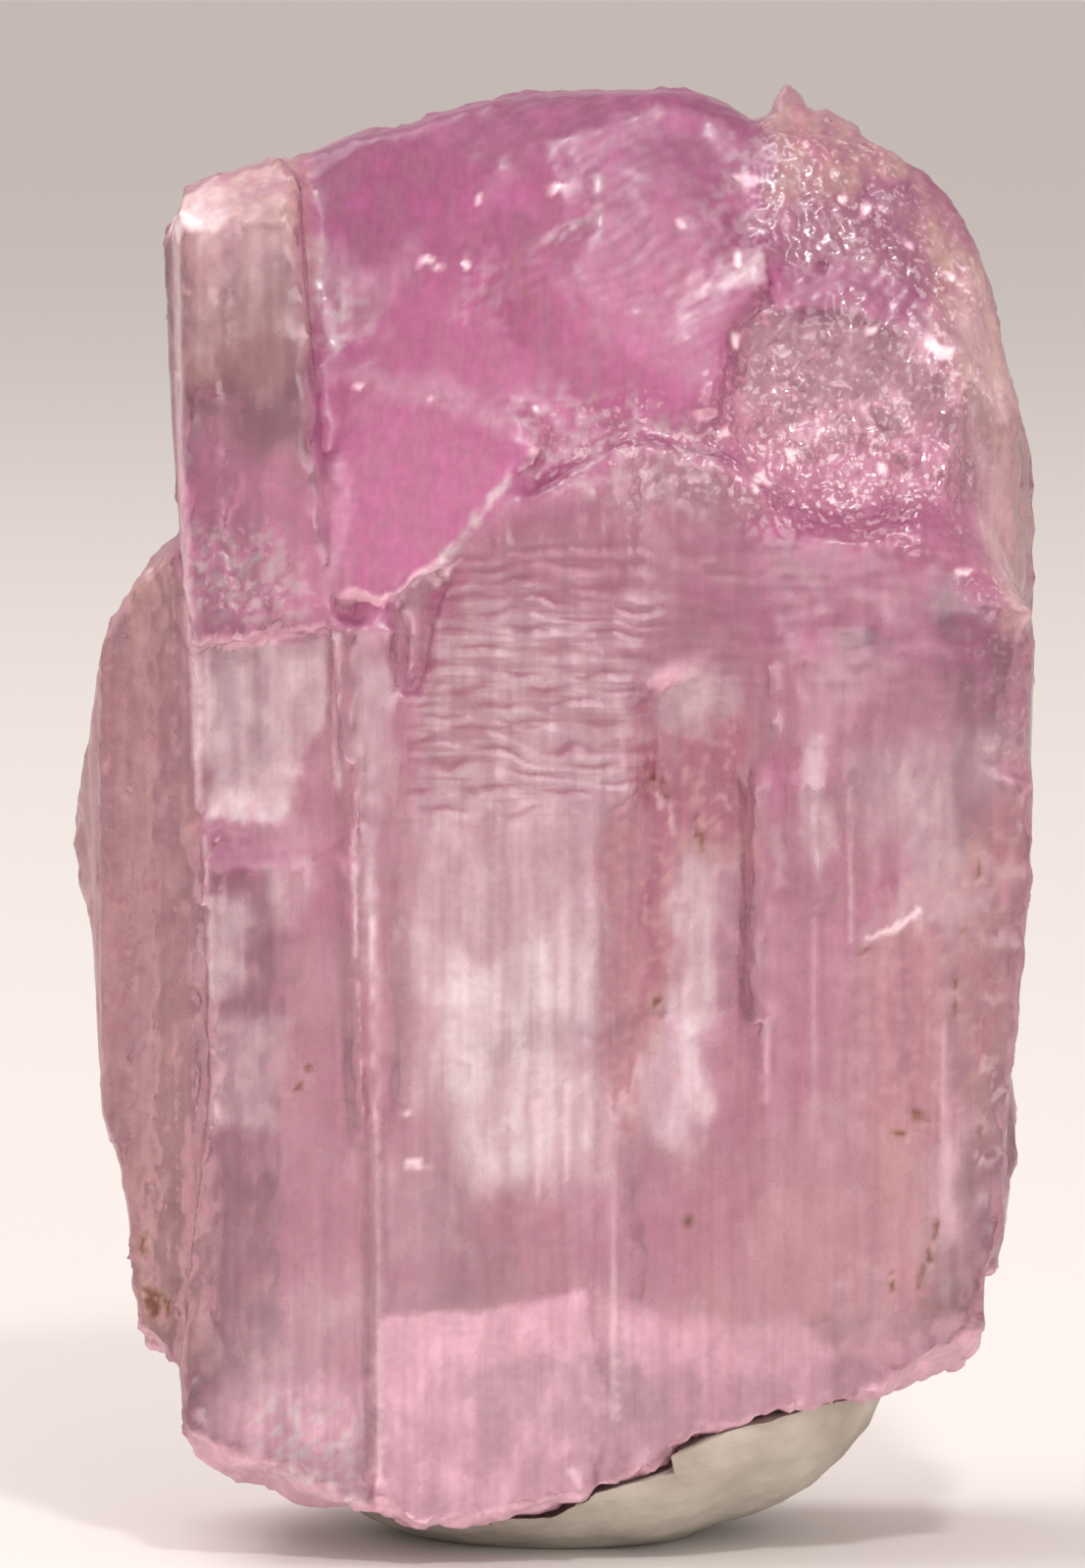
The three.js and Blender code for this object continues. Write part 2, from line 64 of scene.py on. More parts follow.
# How the crystal's edges wear down: the share of the way to the middle of its neighbours
# that a point moves in a round, and the rounds for all of it and for the zones of its front
SOFTENING = 0.5
ALL_ROUNDS = 2
WORN_ROUNDS = 8
CROWN_ROUNDS = 12
FADED_ROUNDS = 130
BARE_ROUNDS = 40

# Depths, in y, over which a zone of the front sets in: on its outer faces only, or on the
# steps and hollows behind them too
OUTER_FACES = (-3.0, -6.0)
FRONT_HALF = (0.0, -3.0)

# The parts of a normal over which a face counts as one that faces this way
FACING_FRONT = (-0.3, 0.3)
FACING_UP = (0.12, 0.3)
FACING_WELL_UP = (0.1, 0.75)
FACING_DOWN = (0.25, 0.6)
UPRIGHT = (0.45, 0.2)

# How far the mesh is pushed about: on its faces, and as much more on its edges, which are
# found by how far a few rounds of softening move them
RAGGED_FACE = 0.02
RAGGED_EDGE = 0.16
RAGGED_ROUNDS = 3
RAGGED_MOVES = (0.01, 0.05)

# The back and the sides: how deep, milky and tan they are at most, and the heights over which
# the deep pink sets in
BACK_DEEP = 0.85
BACK_PALE = 0.7
BACK_TAN = 0.7
BACK_DEEP_HEIGHTS = (42.0, 58.0)

# The peak's tip, and how far it is drawn up between two heights
PEAK = (10.9, 67.6)
PEAK_RADII = (0.7, 3.0)
PEAK_HEIGHTS = (65.6, 67.4)
PEAK_LIFT = 0.35

# The relief: how far apart its waves and treads are, and how high its forms are
STRIA_SPACING = 1.1
TREAD_SPACING = 1.8
HATCH_SPACING = 0.7
RIPPLE_SPACING = 0.8
CROSSING_RIPPLE_SPACING = 1.3
STRIA_HEIGHT = 0.05
FINE_STRIA_HEIGHT = 0.012
WAVE_HEIGHT = 0.05
RIPPLE_HEIGHT = 0.04
TREAD_HEIGHT = 0.05
HATCH_HEIGHT = 0.01
HILLOCK_HEIGHT = 0.12
SMALL_HILLOCK_HEIGHT = 0.14
HILLOCK_GRAIN_HEIGHT = 0.06
RIDGE_HEIGHT = 0.12
FRACTURE_HEIGHT = 0.3
SPLINTER_HEIGHT = 0.1
GRIT_HEIGHT = 0.006
GRITTY_HEIGHT = 0.06
RIDGE_GRIT_HEIGHT = 0.05

# The crystal's clear inside: transmission where nothing clouds it, refraction, absorption
CLEARNESS = 0.82
REFRACTION = 1.66
ABSORPTION_TINT = (0.8, 0.12, 0.55, 1.0)
ABSORPTION_DENSITY = 16.0

# The putty: its longest edges, its lumps, and the height over which they set in, since its
# foot is pressed flat
PUTTY_EDGE = 0.7
PUTTY_CREASE = 50.0  # degrees
PUTTY_FOOT = 0.6
LUMP_HEIGHT = 0.22
SMALL_LUMP_HEIGHT = 0.05
PUTTY_REFRACTION = 1.45
PUTTY_BUMP = 0.25


# ---- Meshes as arrays ----


def solid_of(node):
    """The points, in mm, and the triangles of a CAD node, with shared points merged."""
    mesh = node.data
    mesh.calc_loop_triangles()
    points = np.array([v.co for v in mesh.vertices]) / MM
    triangles = np.array([t.vertices for t in mesh.loop_triangles])
    merged, index = np.unique(np.round(points, 3), axis=0, return_inverse=True)
    triangles = index.reshape(-1)[triangles]
    whole = (triangles != np.roll(triangles, 1, axis=1)).all(axis=1)
    return merged, triangles[whole]


def split(triangles, middles):
    """Cuts each triangle at the middles of its sides ab, bc and ca, where -1 is no middle."""
    pieces = []
    for turn in range(3):
        a, b, c = np.roll(triangles, -turn, axis=1).T
        ab, bc, ca = np.roll(middles, -turn, axis=1).T
        one = (ab >= 0) & (bc < 0) & (ca < 0)
        pieces += [np.stack([a, ab, c], 1)[one], np.stack([ab, b, c], 1)[one]]
        two = (ab >= 0) & (bc >= 0) & (ca < 0)
        pieces += [
            np.stack([ab, b, bc], 1)[two],
            np.stack([a, ab, bc], 1)[two],
            np.stack([a, bc, c], 1)[two],
        ]
    a, b, c = triangles.T
    ab, bc, ca = middles.T
    three = (middles >= 0).all(axis=1)
    pieces += [
        np.stack(corners, 1)[three]
        for corners in ((a, ab, ca), (ab, b, bc), (ca, bc, c), (ab, bc, ca))
    ]
    none = (middles < 0).all(axis=1)
    return np.vstack([triangles[none], *pieces])


def refined(points, triangles, longest):
    """Halves the edges, a few times over, that are longer than longest says at their middles."""
    for _ in range(HALVINGS):
        sides = np.sort(triangles[:, [0, 1, 1, 2, 2, 0]].reshape(-1, 2), axis=1)
        edges, index = np.unique(sides, axis=0, return_inverse=True)
        ends = points[edges]
        length = np.linalg.norm(ends[:, 0] - ends[:, 1], axis=1)
        middle = ends.mean(axis=1)
        cut = length > longest(middle)
        new = np.full(len(edges), -1)
        new[cut] = len(points) + np.arange(cut.sum())
        points = np.vstack([points, middle[cut]])
        triangles = split(triangles, new[index.reshape(-1)].reshape(-1, 3))
    return points, triangles


def normals_of(points, triangles):
    """Unit normals at the points, each weighted by the areas of the faces around it."""
    corners = points[triangles]
    faces = np.cross(corners[:, 1] - corners[:, 0], corners[:, 2] - corners[:, 0])
    normals = np.zeros_like(points)
    for corner in range(3):
        np.add.at(normals, triangles[:, corner], faces)
    return normals / np.maximum(np.linalg.norm(normals, axis=1, keepdims=True), 1e-12)


def softened(points, triangles, rounds):
    """Moves each point part of the way to the middle of its neighbours, a few rounds over."""
    starts = triangles[:, [0, 1, 2]].reshape(-1)
    ends = triangles[:, [1, 2, 0]].reshape(-1)
    counts = np.bincount(starts, minlength=len(points))[:, None]
    for _ in range(rounds):
        sums = [np.bincount(starts, points[ends, axis], len(points)) for axis in range(3)]
        points = points + (np.stack(sums, 1) / counts - points) * SOFTENING
    return points


def even(points, triangles, cell):
    """The same closed surface made of triangles of about one size."""
    mesh = bpy.data.meshes.new("uneven")
    mesh.from_pydata(points.tolist(), [], triangles.tolist())
    uneven = bpy.data.objects.new("uneven", mesh)
    bpy.context.scene.collection.objects.link(uneven)
    remesh = uneven.modifiers.new("remesh", "REMESH")
    remesh.mode = "VOXEL"
    remesh.voxel_size = cell
    made = bpy.data.meshes.new_from_object(
        uneven.evaluated_get(bpy.context.evaluated_depsgraph_get())
    )
    bpy.data.objects.remove(uneven)
    made.calc_loop_triangles()
    corners = np.array([t.vertices for t in made.loop_triangles])
    return np.array([v.co for v in made.vertices]), corners


def settled(points, surface):
    """Each point moved to the nearest place on the surface."""
    return np.array([surface.find_nearest(place)[0][:] for place in points.tolist()])


def mesh_object(name, points, triangles, sharp_angle, layers=()):
    """An object with smooth faces, creased where they meet at more than sharp_angle degrees.

    Its layers are numbers or colours at the points, by name.
    """
    mesh = bpy.data.meshes.new(name)
    mesh.from_pydata((points * MM).tolist(), [], triangles.tolist())
    mesh.shade_smooth()
    mesh.set_sharp_from_angle(angle=math.radians(sharp_angle))
    for layer, values in dict(layers).items():
        kind, field = ("FLOAT", "value") if values.ndim == 1 else ("FLOAT_COLOR", "color")
        mesh.attributes.new(layer, kind, "POINT").data.foreach_set(
            field, np.ascontiguousarray(values, np.float32).reshape(-1)
        )
    made = bpy.data.objects.new(name, mesh)
    bpy.context.scene.collection.objects.link(made)
    return made


# ---- Patterns over places: each seed gives another pattern of the same kind ----


def ramp(values, start, end):
    """0 at start, 1 at end, and smooth between them."""
    t = np.clip((values - start) / (end - start), 0, 1)
    return t * t * (3 - 2 * t)


def mixed(share, start, end):
    """Colours that go from start at share 0 to end at share 1."""
    share = np.clip(share, 0, 1)[:, None]
    return np.asarray(start) * (1 - share) + np.asarray(end) * share


def grain(places, stretch, seed=0.0):
    """Smooth noise, about -1 to 1, whose features are one mm over stretch across."""
    at = places * np.array(stretch) + seed
    return np.array([noise.noise(place) for place in at.tolist()]) * 1.6


def clouds(places, stretch, seed=0.0):
    """Noise of three sizes, mostly 0.3 to 0.7."""
    octaves = sum(
        grain(places, np.array(stretch) * 2**octave, seed) / 2**octave for octave in range(3)
    )
    return 0.5 + 0.2 * octaves


def domes(places, stretch):
    """Rounded bumps round scattered points, 1 at their tops and about 0 between them."""
    at = places * stretch
    distance = np.array([noise.voronoi(place)[0][0] for place in at.tolist()])
    return 1 - 1.6 * distance * distance


def ledges(places, normal, spacing, height, wander, steepness=0.5):
    """Treads and risers across a direction, whose places wander by some spacings.

    A riser takes up as much of the spacing as steepness says.
    """
    along = places @ (np.array(normal) / spacing) + wander
    tread = np.floor(along)
    risen = tread + ramp(along - tread, 0.5 - steepness / 2, 0.5 + steepness / 2)
    return (risen - along) * height


def swells(places, normal, spacing, height, wander):
    """Even waves across a direction, whose places wander by some spacings."""
    along = places @ (np.array(normal) / spacing) + wander
    return height * np.sin(2 * math.pi * along)


def ripple_waves(places):
    """The ripples below the crown, -1 in their grooves and 1 on their crests."""
    wavy = 0.8 * grain(places, (0.16, 0.16, 0.4), seed=21.0) + 0.25 * grain(places, 0.8, seed=22.0)
    level = swells(places, (0.05, 0.0, 1.0), RIPPLE_SPACING, 0.65, wavy)
    crossing = swells(places, (-0.3, 0.0, 1.0), CROSSING_RIPPLE_SPACING, 0.35, 0.8 * wavy + 0.4)
    return level + crossing


def wandering(places):
    """The places shifted about, so that outlines drawn over them aren't straight."""
    shifted = places.copy()
    for axis, seed in ((0, 0.0), (2, 40.0)):
        shifted[:, axis] += 0.5 * grain(places, (0.5, 0.5, 0.35), seed)
        shifted[:, axis] += 0.16 * grain(places, (2.0, 2.0, 1.4), seed)
    return shifted


# ---- Regions, lines and spots as seen from the front ----


def distance_to(places, route):
    """How far each place is from a line through the points (x, z) of a route."""
    x, z = places[:, 0], places[:, 2]
    distance = np.full(len(x), np.inf)
    for (x0, z0), (x1, z1) in zip(route, route[1:]):
        dx, dz = x1 - x0, z1 - z0
        along = np.clip(((x - x0) * dx + (z - z0) * dz) / (dx * dx + dz * dz), 0, 1)
        distance = np.minimum(distance, np.hypot(x - x0 - along * dx, z - z0 - along * dz))
    return distance


def inside(places, outline):
    """Whether each place is inside an outline of (x, z)."""
    x, z = places[:, 0], places[:, 2]
    odd = np.zeros(len(x), bool)
    for (x0, z0), (x1, z1) in zip(outline, outline[1:] + outline[:1]):
        if z0 != z1:
            crosses = (z0 > z) != (z1 > z)
            odd ^= crosses & (x < x0 + (x1 - x0) * (z - z0) / (z1 - z0))
    return odd


def patch(places, outline, soft):
    """1 inside an outline of (x, z), 0 outside, with an edge that is soft mm wide."""
    distance = distance_to(places, outline + outline[:1])
    return ramp(np.where(inside(places, outline), distance, -distance), -soft / 2, soft / 2)


def patches(places, outlines, soft):
    return np.max([patch(places, outline, soft) for outline in outlines], axis=0)


def stroke(places, route, half_width):
    """1 on a line through the points (x, z) of route, 0 from half_width on."""
    return ramp(distance_to(places, route), half_width, half_width * 0.3)


def spot(places, centre, radii, lean=0.0):
    """1 at the centre (x, z), fading to 0 round an ellipse that leans by lean degrees."""
    x, z = places[:, 0] - centre[0], places[:, 2] - centre[1]
    a = math.radians(lean)
    across = (x * math.cos(a) + z * math.sin(a)) / radii[0]
    upward = (z * math.cos(a) - x * math.sin(a)) / radii[1]
    return ramp(np.hypot(across, upward), 1.3, 0.4)


def strongest(places, regions):
    return np.max(
        [strength * patch(places, outline, soft) for strength, soft, outline in regions], axis=0
    )


def strokes(places, lines):
    return np.max(
        [strength * stroke(places, route, width) for strength, width, route in lines], axis=0
    )


def spots(places, ellipses):
    return np.max([spot(places, *ellipse) for ellipse in ellipses], axis=0)


# ---- Outlines of the front's parts: (x, z) ----

CROWN = [
    (-11.4, 66.0), (-5.6, 68.0), (6.3, 68.5), (9.2, 66.6), (10.4, 60.5), (8.0, 57.0), (7.0, 52.6),
    (3.8, 51.6), (1.6, 49.5), (-2.0, 48.6), (-4.6, 46.6), (-8.2, 43.0), (-10.2, 45.0),
    (-11.0, 52.5),
]
ALCOVE = [
    (6.6, 50.4), (7.4, 55.4), (9.6, 57.6), (13.6, 58.2), (17.0, 57.0), (18.8, 54.0), (19.0, 49.6),
    (16.6, 46.8), (12.6, 47.6), (9.6, 47.6),
]
SHOULDER = [
    (9.6, 66.4), (14.0, 65.6), (18.6, 61.8), (20.0, 57.0), (17.8, 57.6), (13.6, 59.6),
    (9.2, 59.2),
]
RIPPLED = [
    (-5.4, 46.8), (2.0, 47.4), (4.4, 46.6), (4.4, 36.0), (-2.0, 34.6), (-6.9, 34.8), (-6.4, 41.0),
]
RIPPLED_FAINTLY = [
    (4.4, 47.6), (19.0, 47.6), (21.4, 43.6), (19.0, 39.6), (9.0, 40.2), (4.4, 41.6),
]
BARE = [ALCOVE, SHOULDER, RIPPLED]

# Where the front's edges are worn, and where steps of the solid fade out altogether
WORN = [
    (-15.6, 42.0), (-9.0, 43.0), (-4.0, 47.0), (4.0, 50.0), (9.0, 47.0), (19.0, 46.0),
    (20.4, 38.0), (17.6, 10.0), (2.0, 6.0), (-6.0, 4.0), (-15.0, 8.0),
]
FADED = [
    # Above the lens window, above the right panel, and below the alcove
    [(3.4, 44.6), (9.8, 44.8), (9.8, 36.6), (3.4, 36.4)],
    [(9.6, 42.4), (22.4, 43.6), (22.4, 36.6), (9.6, 36.6)],
    [(8.6, 49.4), (22.4, 50.0), (22.4, 44.6), (8.6, 45.0)],
    # Below the window pane and below the lens
    [(-16.4, 37.0), (-9.4, 37.0), (-9.4, 32.6), (-16.4, 32.6)],
    [(3.8, 25.0), (9.4, 25.0), (9.4, 16.0), (3.8, 16.0)],
]
FACET_RIM = [
    # The middle facet's rim, and the step above it
    [
        (-3.6, 61.4), (-1.4, 63.4), (0.6, 62.0), (1.4, 58.6), (7.2, 55.4), (6.8, 51.8),
        (3.6, 52.2), (-1.6, 56.6),
    ],
    [(0.4, 65.2), (6.8, 66.0), (8.8, 63.4), (6.2, 62.2), (0.8, 62.6)],
]

# ---- Where the front shows each trait: strength, width of the soft edge, outline ----

ETCHED = [(1.0, 2.2, ALCOVE), (0.85, 1.6, SHOULDER)]
RIPPLES = [(1.0, 1.6, RIPPLED), (0.45, 3.0, RIPPLED_FAINTLY)]
GRITTY = [
    # The crown, from the left, and its frosty sill
    (0.6, 1.2, [(-11.2, 58.8), (-8.6, 58.4), (-8.0, 57.0), (-11.0, 55.8)]),
    (0.3, 1.6, [(-4.6, 60.4), (-1.8, 60.2), (-2.2, 56.8), (-5.2, 57.2)]),
    (0.35, 1.2, [(6.6, 58.6), (9.2, 60.8), (10.2, 65.6), (8.0, 65.8), (6.6, 62.0)]),
    (0.5, 1.4, [(-1.8, 53.6), (3.6, 54.4), (7.4, 51.4), (7.6, 49.0), (2.4, 48.0), (-2.0, 50.0)]),
    # The feet of the left column and of the left block
    (0.8, 1.2, [(-16.8, 48.0), (-12.0, 47.6), (-11.4, 43.8), (-16.4, 43.6)]),
    (0.9, 1.6, [(-14.6, 8.0), (-8.6, 7.4), (-8.8, 2.6), (-13.0, 4.0)]),
]
DEEP = [
    # The crown, its top, its middle facet with the flank on its right, and the wedge
    (0.88, 1.6, CROWN),
    (1.0, 2.5, [
        (-10.8, 64.0), (-5.6, 67.4), (6.0, 68.0), (8.8, 66.0), (8.6, 62.5), (3.0, 63.0),
        (-2.0, 61.4), (-6.0, 59.0), (-10.5, 61.0),
    ]),
    (1.0, 1.6, [(-1.6, 64.0), (6.8, 64.0), (7.6, 56.0), (5.0, 52.4), (1.0, 53.0), (-1.0, 58.0)]),
    (0.85, 1.0, [(5.2, 56.7), (7.9, 57.2), (7.9, 51.8), (6.1, 51.2), (4.3, 54.0)]),
    (1.0, 1.0, [
        (-10.8, 53.6), (-2.0, 53.8), (-0.4, 51.6), (-2.5, 48.8), (-5.0, 46.6), (-8.2, 43.2),
        (-9.9, 46.8),
    ]),
    # The alcove, the brow over it, and the shoulder
    (0.55, 2.6, ALCOVE),
    (0.9, 1.2, [
        (6.4, 57.4), (8.8, 60.0), (13.0, 60.0), (17.6, 58.2), (16.6, 57.0), (13.0, 57.6),
        (9.4, 57.0), (7.4, 54.4),
    ]),
    (0.35, 1.6, SHOULDER),
    # The crown's sill, the bands below it, and the groove at the left of the ripples
    (0.5, 2.0, [(-2.4, 50.4), (1.0, 53.0), (7.4, 52.4), (8.8, 48.4), (4.0, 47.2), (-2.0, 47.6)]),
    (0.42, 3.0, [
        (-4.8, 47.4), (4.0, 48.0), (10.0, 47.0), (19.0, 49.0), (21.6, 45.0), (21.6, 39.6),
        (14.0, 37.6), (9.0, 41.0), (4.0, 42.0), (-2.0, 45.0),
    ]),
    (0.85, 2.5, [
        (5.0, 48.6), (19.0, 49.4), (21.6, 45.0), (21.0, 40.6), (10.0, 41.6), (5.0, 44.4),
    ]),
    (0.55, 0.6, [
        (-4.6, 46.8), (-3.2, 46.0), (-5.8, 42.0), (-6.4, 36.4), (-7.1, 36.0), (-7.0, 42.0),
    ]),
    # The left column, and the block below the window pane
    (0.85, 2.0, [
        (-17.6, 53.0), (-14.6, 51.6), (-10.8, 50.0), (-9.8, 43.4), (-16.4, 42.6), (-17.4, 46.8),
    ]),
    (0.35, 2.0, [(-12.0, 33.6), (-9.6, 34.0), (-9.4, 30.0), (-12.0, 29.0)]),
    (0.4, 1.6, [(-16.0, 34.2), (-12.4, 34.4), (-12.6, 31.6), (-15.8, 31.2)]),
    # The columns at the right of the lens, and low in the middle
    (0.3, 1.2, [(9.2, 33.0), (11.9, 32.0), (11.9, 22.5), (9.2, 21.5)]),
    (0.5, 1.0, [(9.4, 38.0), (11.2, 38.0), (11.4, 34.6), (9.6, 34.4)]),
    (0.4, 1.6, [
        (9.4, 31.0), (13.0, 30.6), (17.0, 32.6), (13.8, 29.0), (12.6, 22.0), (10.0, 21.0),
    ]),
    (0.3, 3.0, [(2.0, 16.8), (8.6, 18.0), (9.0, 13.4), (2.0, 14.6)]),
]
PALE = [
    # The left column's top, from above
    (0.1, 1.5, [(-17.4, 63.0), (-12.6, 65.0), (-11.4, 63.0), (-13.0, 60.0), (-17.2, 61.0)]),
    (0.6, 0.8, [(-17.4, 62.6), (-15.6, 63.6), (-15.0, 61.6), (-16.6, 59.8)]),
    (0.4, 0.8, [(-14.4, 61.4), (-12.0, 61.6), (-12.6, 58.6), (-14.2, 58.6)]),
    (0.25, 1.6, [(-17.0, 61.0), (-12.0, 61.4), (-11.6, 56.6), (-16.8, 56.0)]),
    # The window pane and the strip beside it
    (0.75, 0.4, [
        (-16.3, 42.5), (-9.9, 43.0), (-10.2, 40.0), (-12.0, 36.0), (-12.4, 34.6), (-16.0, 34.6),
    ]),
    (0.4, 0.7, [(-9.2, 42.0), (-7.4, 41.4), (-7.3, 34.8), (-9.1, 35.0)]),
    (0.6, 0.8, [(-9.4, 32.0), (-8.4, 33.0), (-8.2, 27.6), (-9.3, 27.8)]),
    # The left block, from above
    (0.7, 1.0, [(-16.2, 31.2), (-14.4, 31.3), (-14.0, 27.0), (-15.8, 26.0)]),
    (0.5, 1.0, [(-13.2, 32.0), (-11.9, 33.0), (-10.6, 31.6), (-11.4, 29.6), (-13.0, 30.0)]),
    (0.5, 1.0, [(-15.8, 25.6), (-12.0, 25.2), (-12.6, 20.6), (-15.6, 20.4)]),
    (0.3, 2.5, [(-15.4, 13.0), (-9.0, 13.0), (-8.8, 7.0), (-15.4, 7.0)]),
    # The ripples, and the broad pane below them
    (0.5, 3.0, [(-6.2, 43.6), (3.4, 44.6), (3.6, 36.0), (-6.6, 35.0)]),
    (0.55, 2.5, [
        (-6.8, 35.4), (1.6, 36.4), (2.2, 26.0), (2.0, 18.4), (-3.8, 18.0), (-6.4, 21.2),
        (-7.0, 28.0),
    ]),
    (1.0, 3.0, [
        (-6.8, 30.0), (-3.2, 28.4), (1.6, 31.8), (2.0, 18.0), (-3.6, 17.8), (-5.8, 22.0),
    ]),
    (0.25, 2.0, [(-7.6, 18.6), (-3.6, 18.0), (-3.6, 14.6), (-7.6, 14.6)]),
    # The lens window and the streak below it
    (0.6, 1.4, [(4.4, 41.6), (8.7, 41.8), (8.6, 39.2), (4.6, 38.8)]),
    (0.75, 0.9, [(5.6, 32.4), (8.1, 32.6), (7.6, 28.6), (6.9, 24.2), (6.0, 23.6), (5.3, 27.0)]),
    (0.7, 1.2, [(5.6, 24.2), (7.2, 23.8), (6.6, 19.0), (5.2, 19.6)]),
    # The columns and the panel at the right
    (0.5, 0.5, [(11.6, 38.6), (12.6, 38.6), (12.8, 33.0), (11.7, 32.4), (11.4, 33.4)]),
    (0.35, 0.4, [(9.8, 34.2), (10.4, 34.2), (10.5, 31.6), (9.8, 31.4)]),
    (0.45, 2.2, [(13.6, 37.6), (19.6, 38.8), (21.6, 37.4), (17.4, 33.8), (14.4, 33.4)]),
    # The crown and its sill
    (0.3, 1.4, [(-11.2, 61.6), (-7.6, 59.2), (-8.6, 56.8), (-11.0, 57.0)]),
    (0.2, 1.0, [
        (-10.6, 55.4), (-4.0, 54.6), (-0.6, 52.6), (-1.4, 51.6), (-5.0, 53.6), (-10.6, 54.2),
    ]),
    (0.15, 1.4, [(0.6, 51.4), (6.6, 52.4), (7.6, 49.6), (2.6, 48.4)]),
    # The brow, the alcove and the right edge
    (0.7, 0.5, [(6.8, 58.8), (9.4, 60.8), (9.7, 59.0)]),
    # Painted light: the alcove's pale patch lifts the shade of its hollow
    (0.3, 1.8, [
        (8.6, 56.8), (11.0, 57.6), (17.4, 56.6), (18.4, 52.6), (13.6, 51.8), (8.4, 52.6),
    ]),
    (0.3, 2.0, [(18.6, 60.0), (21.6, 52.0), (21.8, 44.0), (20.0, 44.0), (18.6, 52.0)]),
]
TAN = [
    # The right edge, the right panel and the low right
    (0.95, 1.8, [
        (16.8, 63.0), (19.6, 60.4), (22.4, 52.0), (22.5, 43.0), (20.4, 43.0), (19.4, 50.6),
        (17.6, 57.2),
    ]),
    (0.7, 2.0, [
        (14.2, 28.6), (18.0, 33.0), (21.8, 36.6), (21.8, 27.0), (18.4, 11.8), (16.0, 11.8),
        (13.6, 21.0),
    ]),
    (0.45, 2.5, [(6.0, 18.0), (16.0, 18.0), (19.0, 11.6), (12.0, 10.4), (6.0, 11.0)]),
    # The blade and the left column's top
    (0.75, 1.0, [
        (-22.6, 41.0), (-18.6, 48.0), (-16.9, 46.0), (-16.2, 30.0), (-15.8, 9.0), (-20.4, 8.6),
        (-22.8, 34.0),
    ]),
    (0.8, 1.6, [(-17.6, 65.0), (-11.6, 66.4), (-10.9, 56.0), (-12.6, 54.2), (-17.6, 54.6)]),
    # The lens window and the grooves beside it
    (0.95, 1.4, [(4.8, 38.4), (8.5, 39.0), (8.8, 33.4), (8.1, 32.6), (5.6, 32.4), (4.9, 33.0)]),
    (0.9, 0.9, [(3.9, 38.0), (5.4, 37.0), (5.6, 31.0), (4.9, 24.0), (3.9, 24.0)]),
    (0.75, 0.8, [(1.9, 34.2), (3.9, 36.0), (4.4, 20.2), (2.2, 19.8)]),
    # The peak
    (0.7, 1.4, [(9.8, 63.0), (10.0, 68.8), (15.2, 66.0), (17.0, 63.6), (12.0, 62.6)]),
]
# Bright pink, mostly painted light: the glow of light coming through the broken foot and the low
# right, and light laid over the shade of the alcove and of the left column
BRIGHT = [
    # The broken foot, from the left, and a streak at the right
    (0.75, 2.0, [(-15.4, 8.4), (-8.3, 8.8), (-8.3, 2.0), (-12.2, 4.0), (-16.0, 6.6)]),
    (1.0, 0.5, [
        (-8.3, 11.4), (1.6, 13.4), (2.0, 11.0), (2.4, 6.0), (0.0, 1.5), (-5.4, 0.4), (-8.3, 2.0),
    ]),
    (0.8, 1.6, [
        (2.0, 13.2), (5.6, 11.4), (9.6, 11.4), (13.0, 10.4), (12.6, 7.4), (7.6, 5.0), (1.6, 2.4),
    ]),
    (0.35, 1.4, [(11.4, 10.6), (19.0, 11.6), (20.2, 9.6), (19.2, 8.0), (12.0, 7.2)]),
    (0.55, 0.9, [(17.5, 21.6), (18.8, 21.6), (18.6, 15.0), (17.2, 15.4)]),
    # The left column, the wedge and the alcove
    (0.35, 2.0, [(-16.8, 52.4), (-12.0, 51.0), (-10.8, 48.0), (-11.0, 43.4), (-16.4, 43.4)]),
    (0.12, 0.9, [(-10.4, 53.4), (-4.0, 53.0), (-3.0, 50.0), (-8.6, 43.8), (-9.8, 46.8)]),
    (0.3, 2.4, [
        (7.6, 55.6), (10.0, 57.4), (14.0, 57.8), (17.6, 55.6), (18.4, 49.6), (16.0, 48.6),
        (8.6, 49.0),
    ]),
]
# Sparkling: where glints are painted into the base colour as white specks
SPARKLING = [
    # The alcove, the sill beside it, and the shoulder
    (1.0, 2.4, [
        (7.4, 55.6), (10.2, 57.6), (13.4, 55.0), (18.0, 56.0), (18.6, 50.0), (16.0, 47.8),
        (9.6, 48.4), (6.6, 50.6),
    ]),
    (0.75, 2.0, [(0.0, 52.6), (4.0, 54.0), (7.6, 52.6), (8.0, 49.4), (3.0, 48.4), (0.0, 50.0)]),
    (0.6, 2.0, [
        (9.0, 66.0), (14.6, 65.0), (19.6, 60.0), (20.6, 52.0), (18.6, 47.0), (17.6, 56.0),
        (13.0, 60.6), (9.0, 60.8),
    ]),
    # The left column's foot and the right edge
    (0.5, 1.6, [(-16.8, 48.4), (-12.0, 48.2), (-11.2, 43.8), (-16.4, 43.4)]),
    (0.45, 1.2, [(18.6, 46.0), (21.6, 46.0), (21.8, 37.0), (19.0, 37.0)]),
]
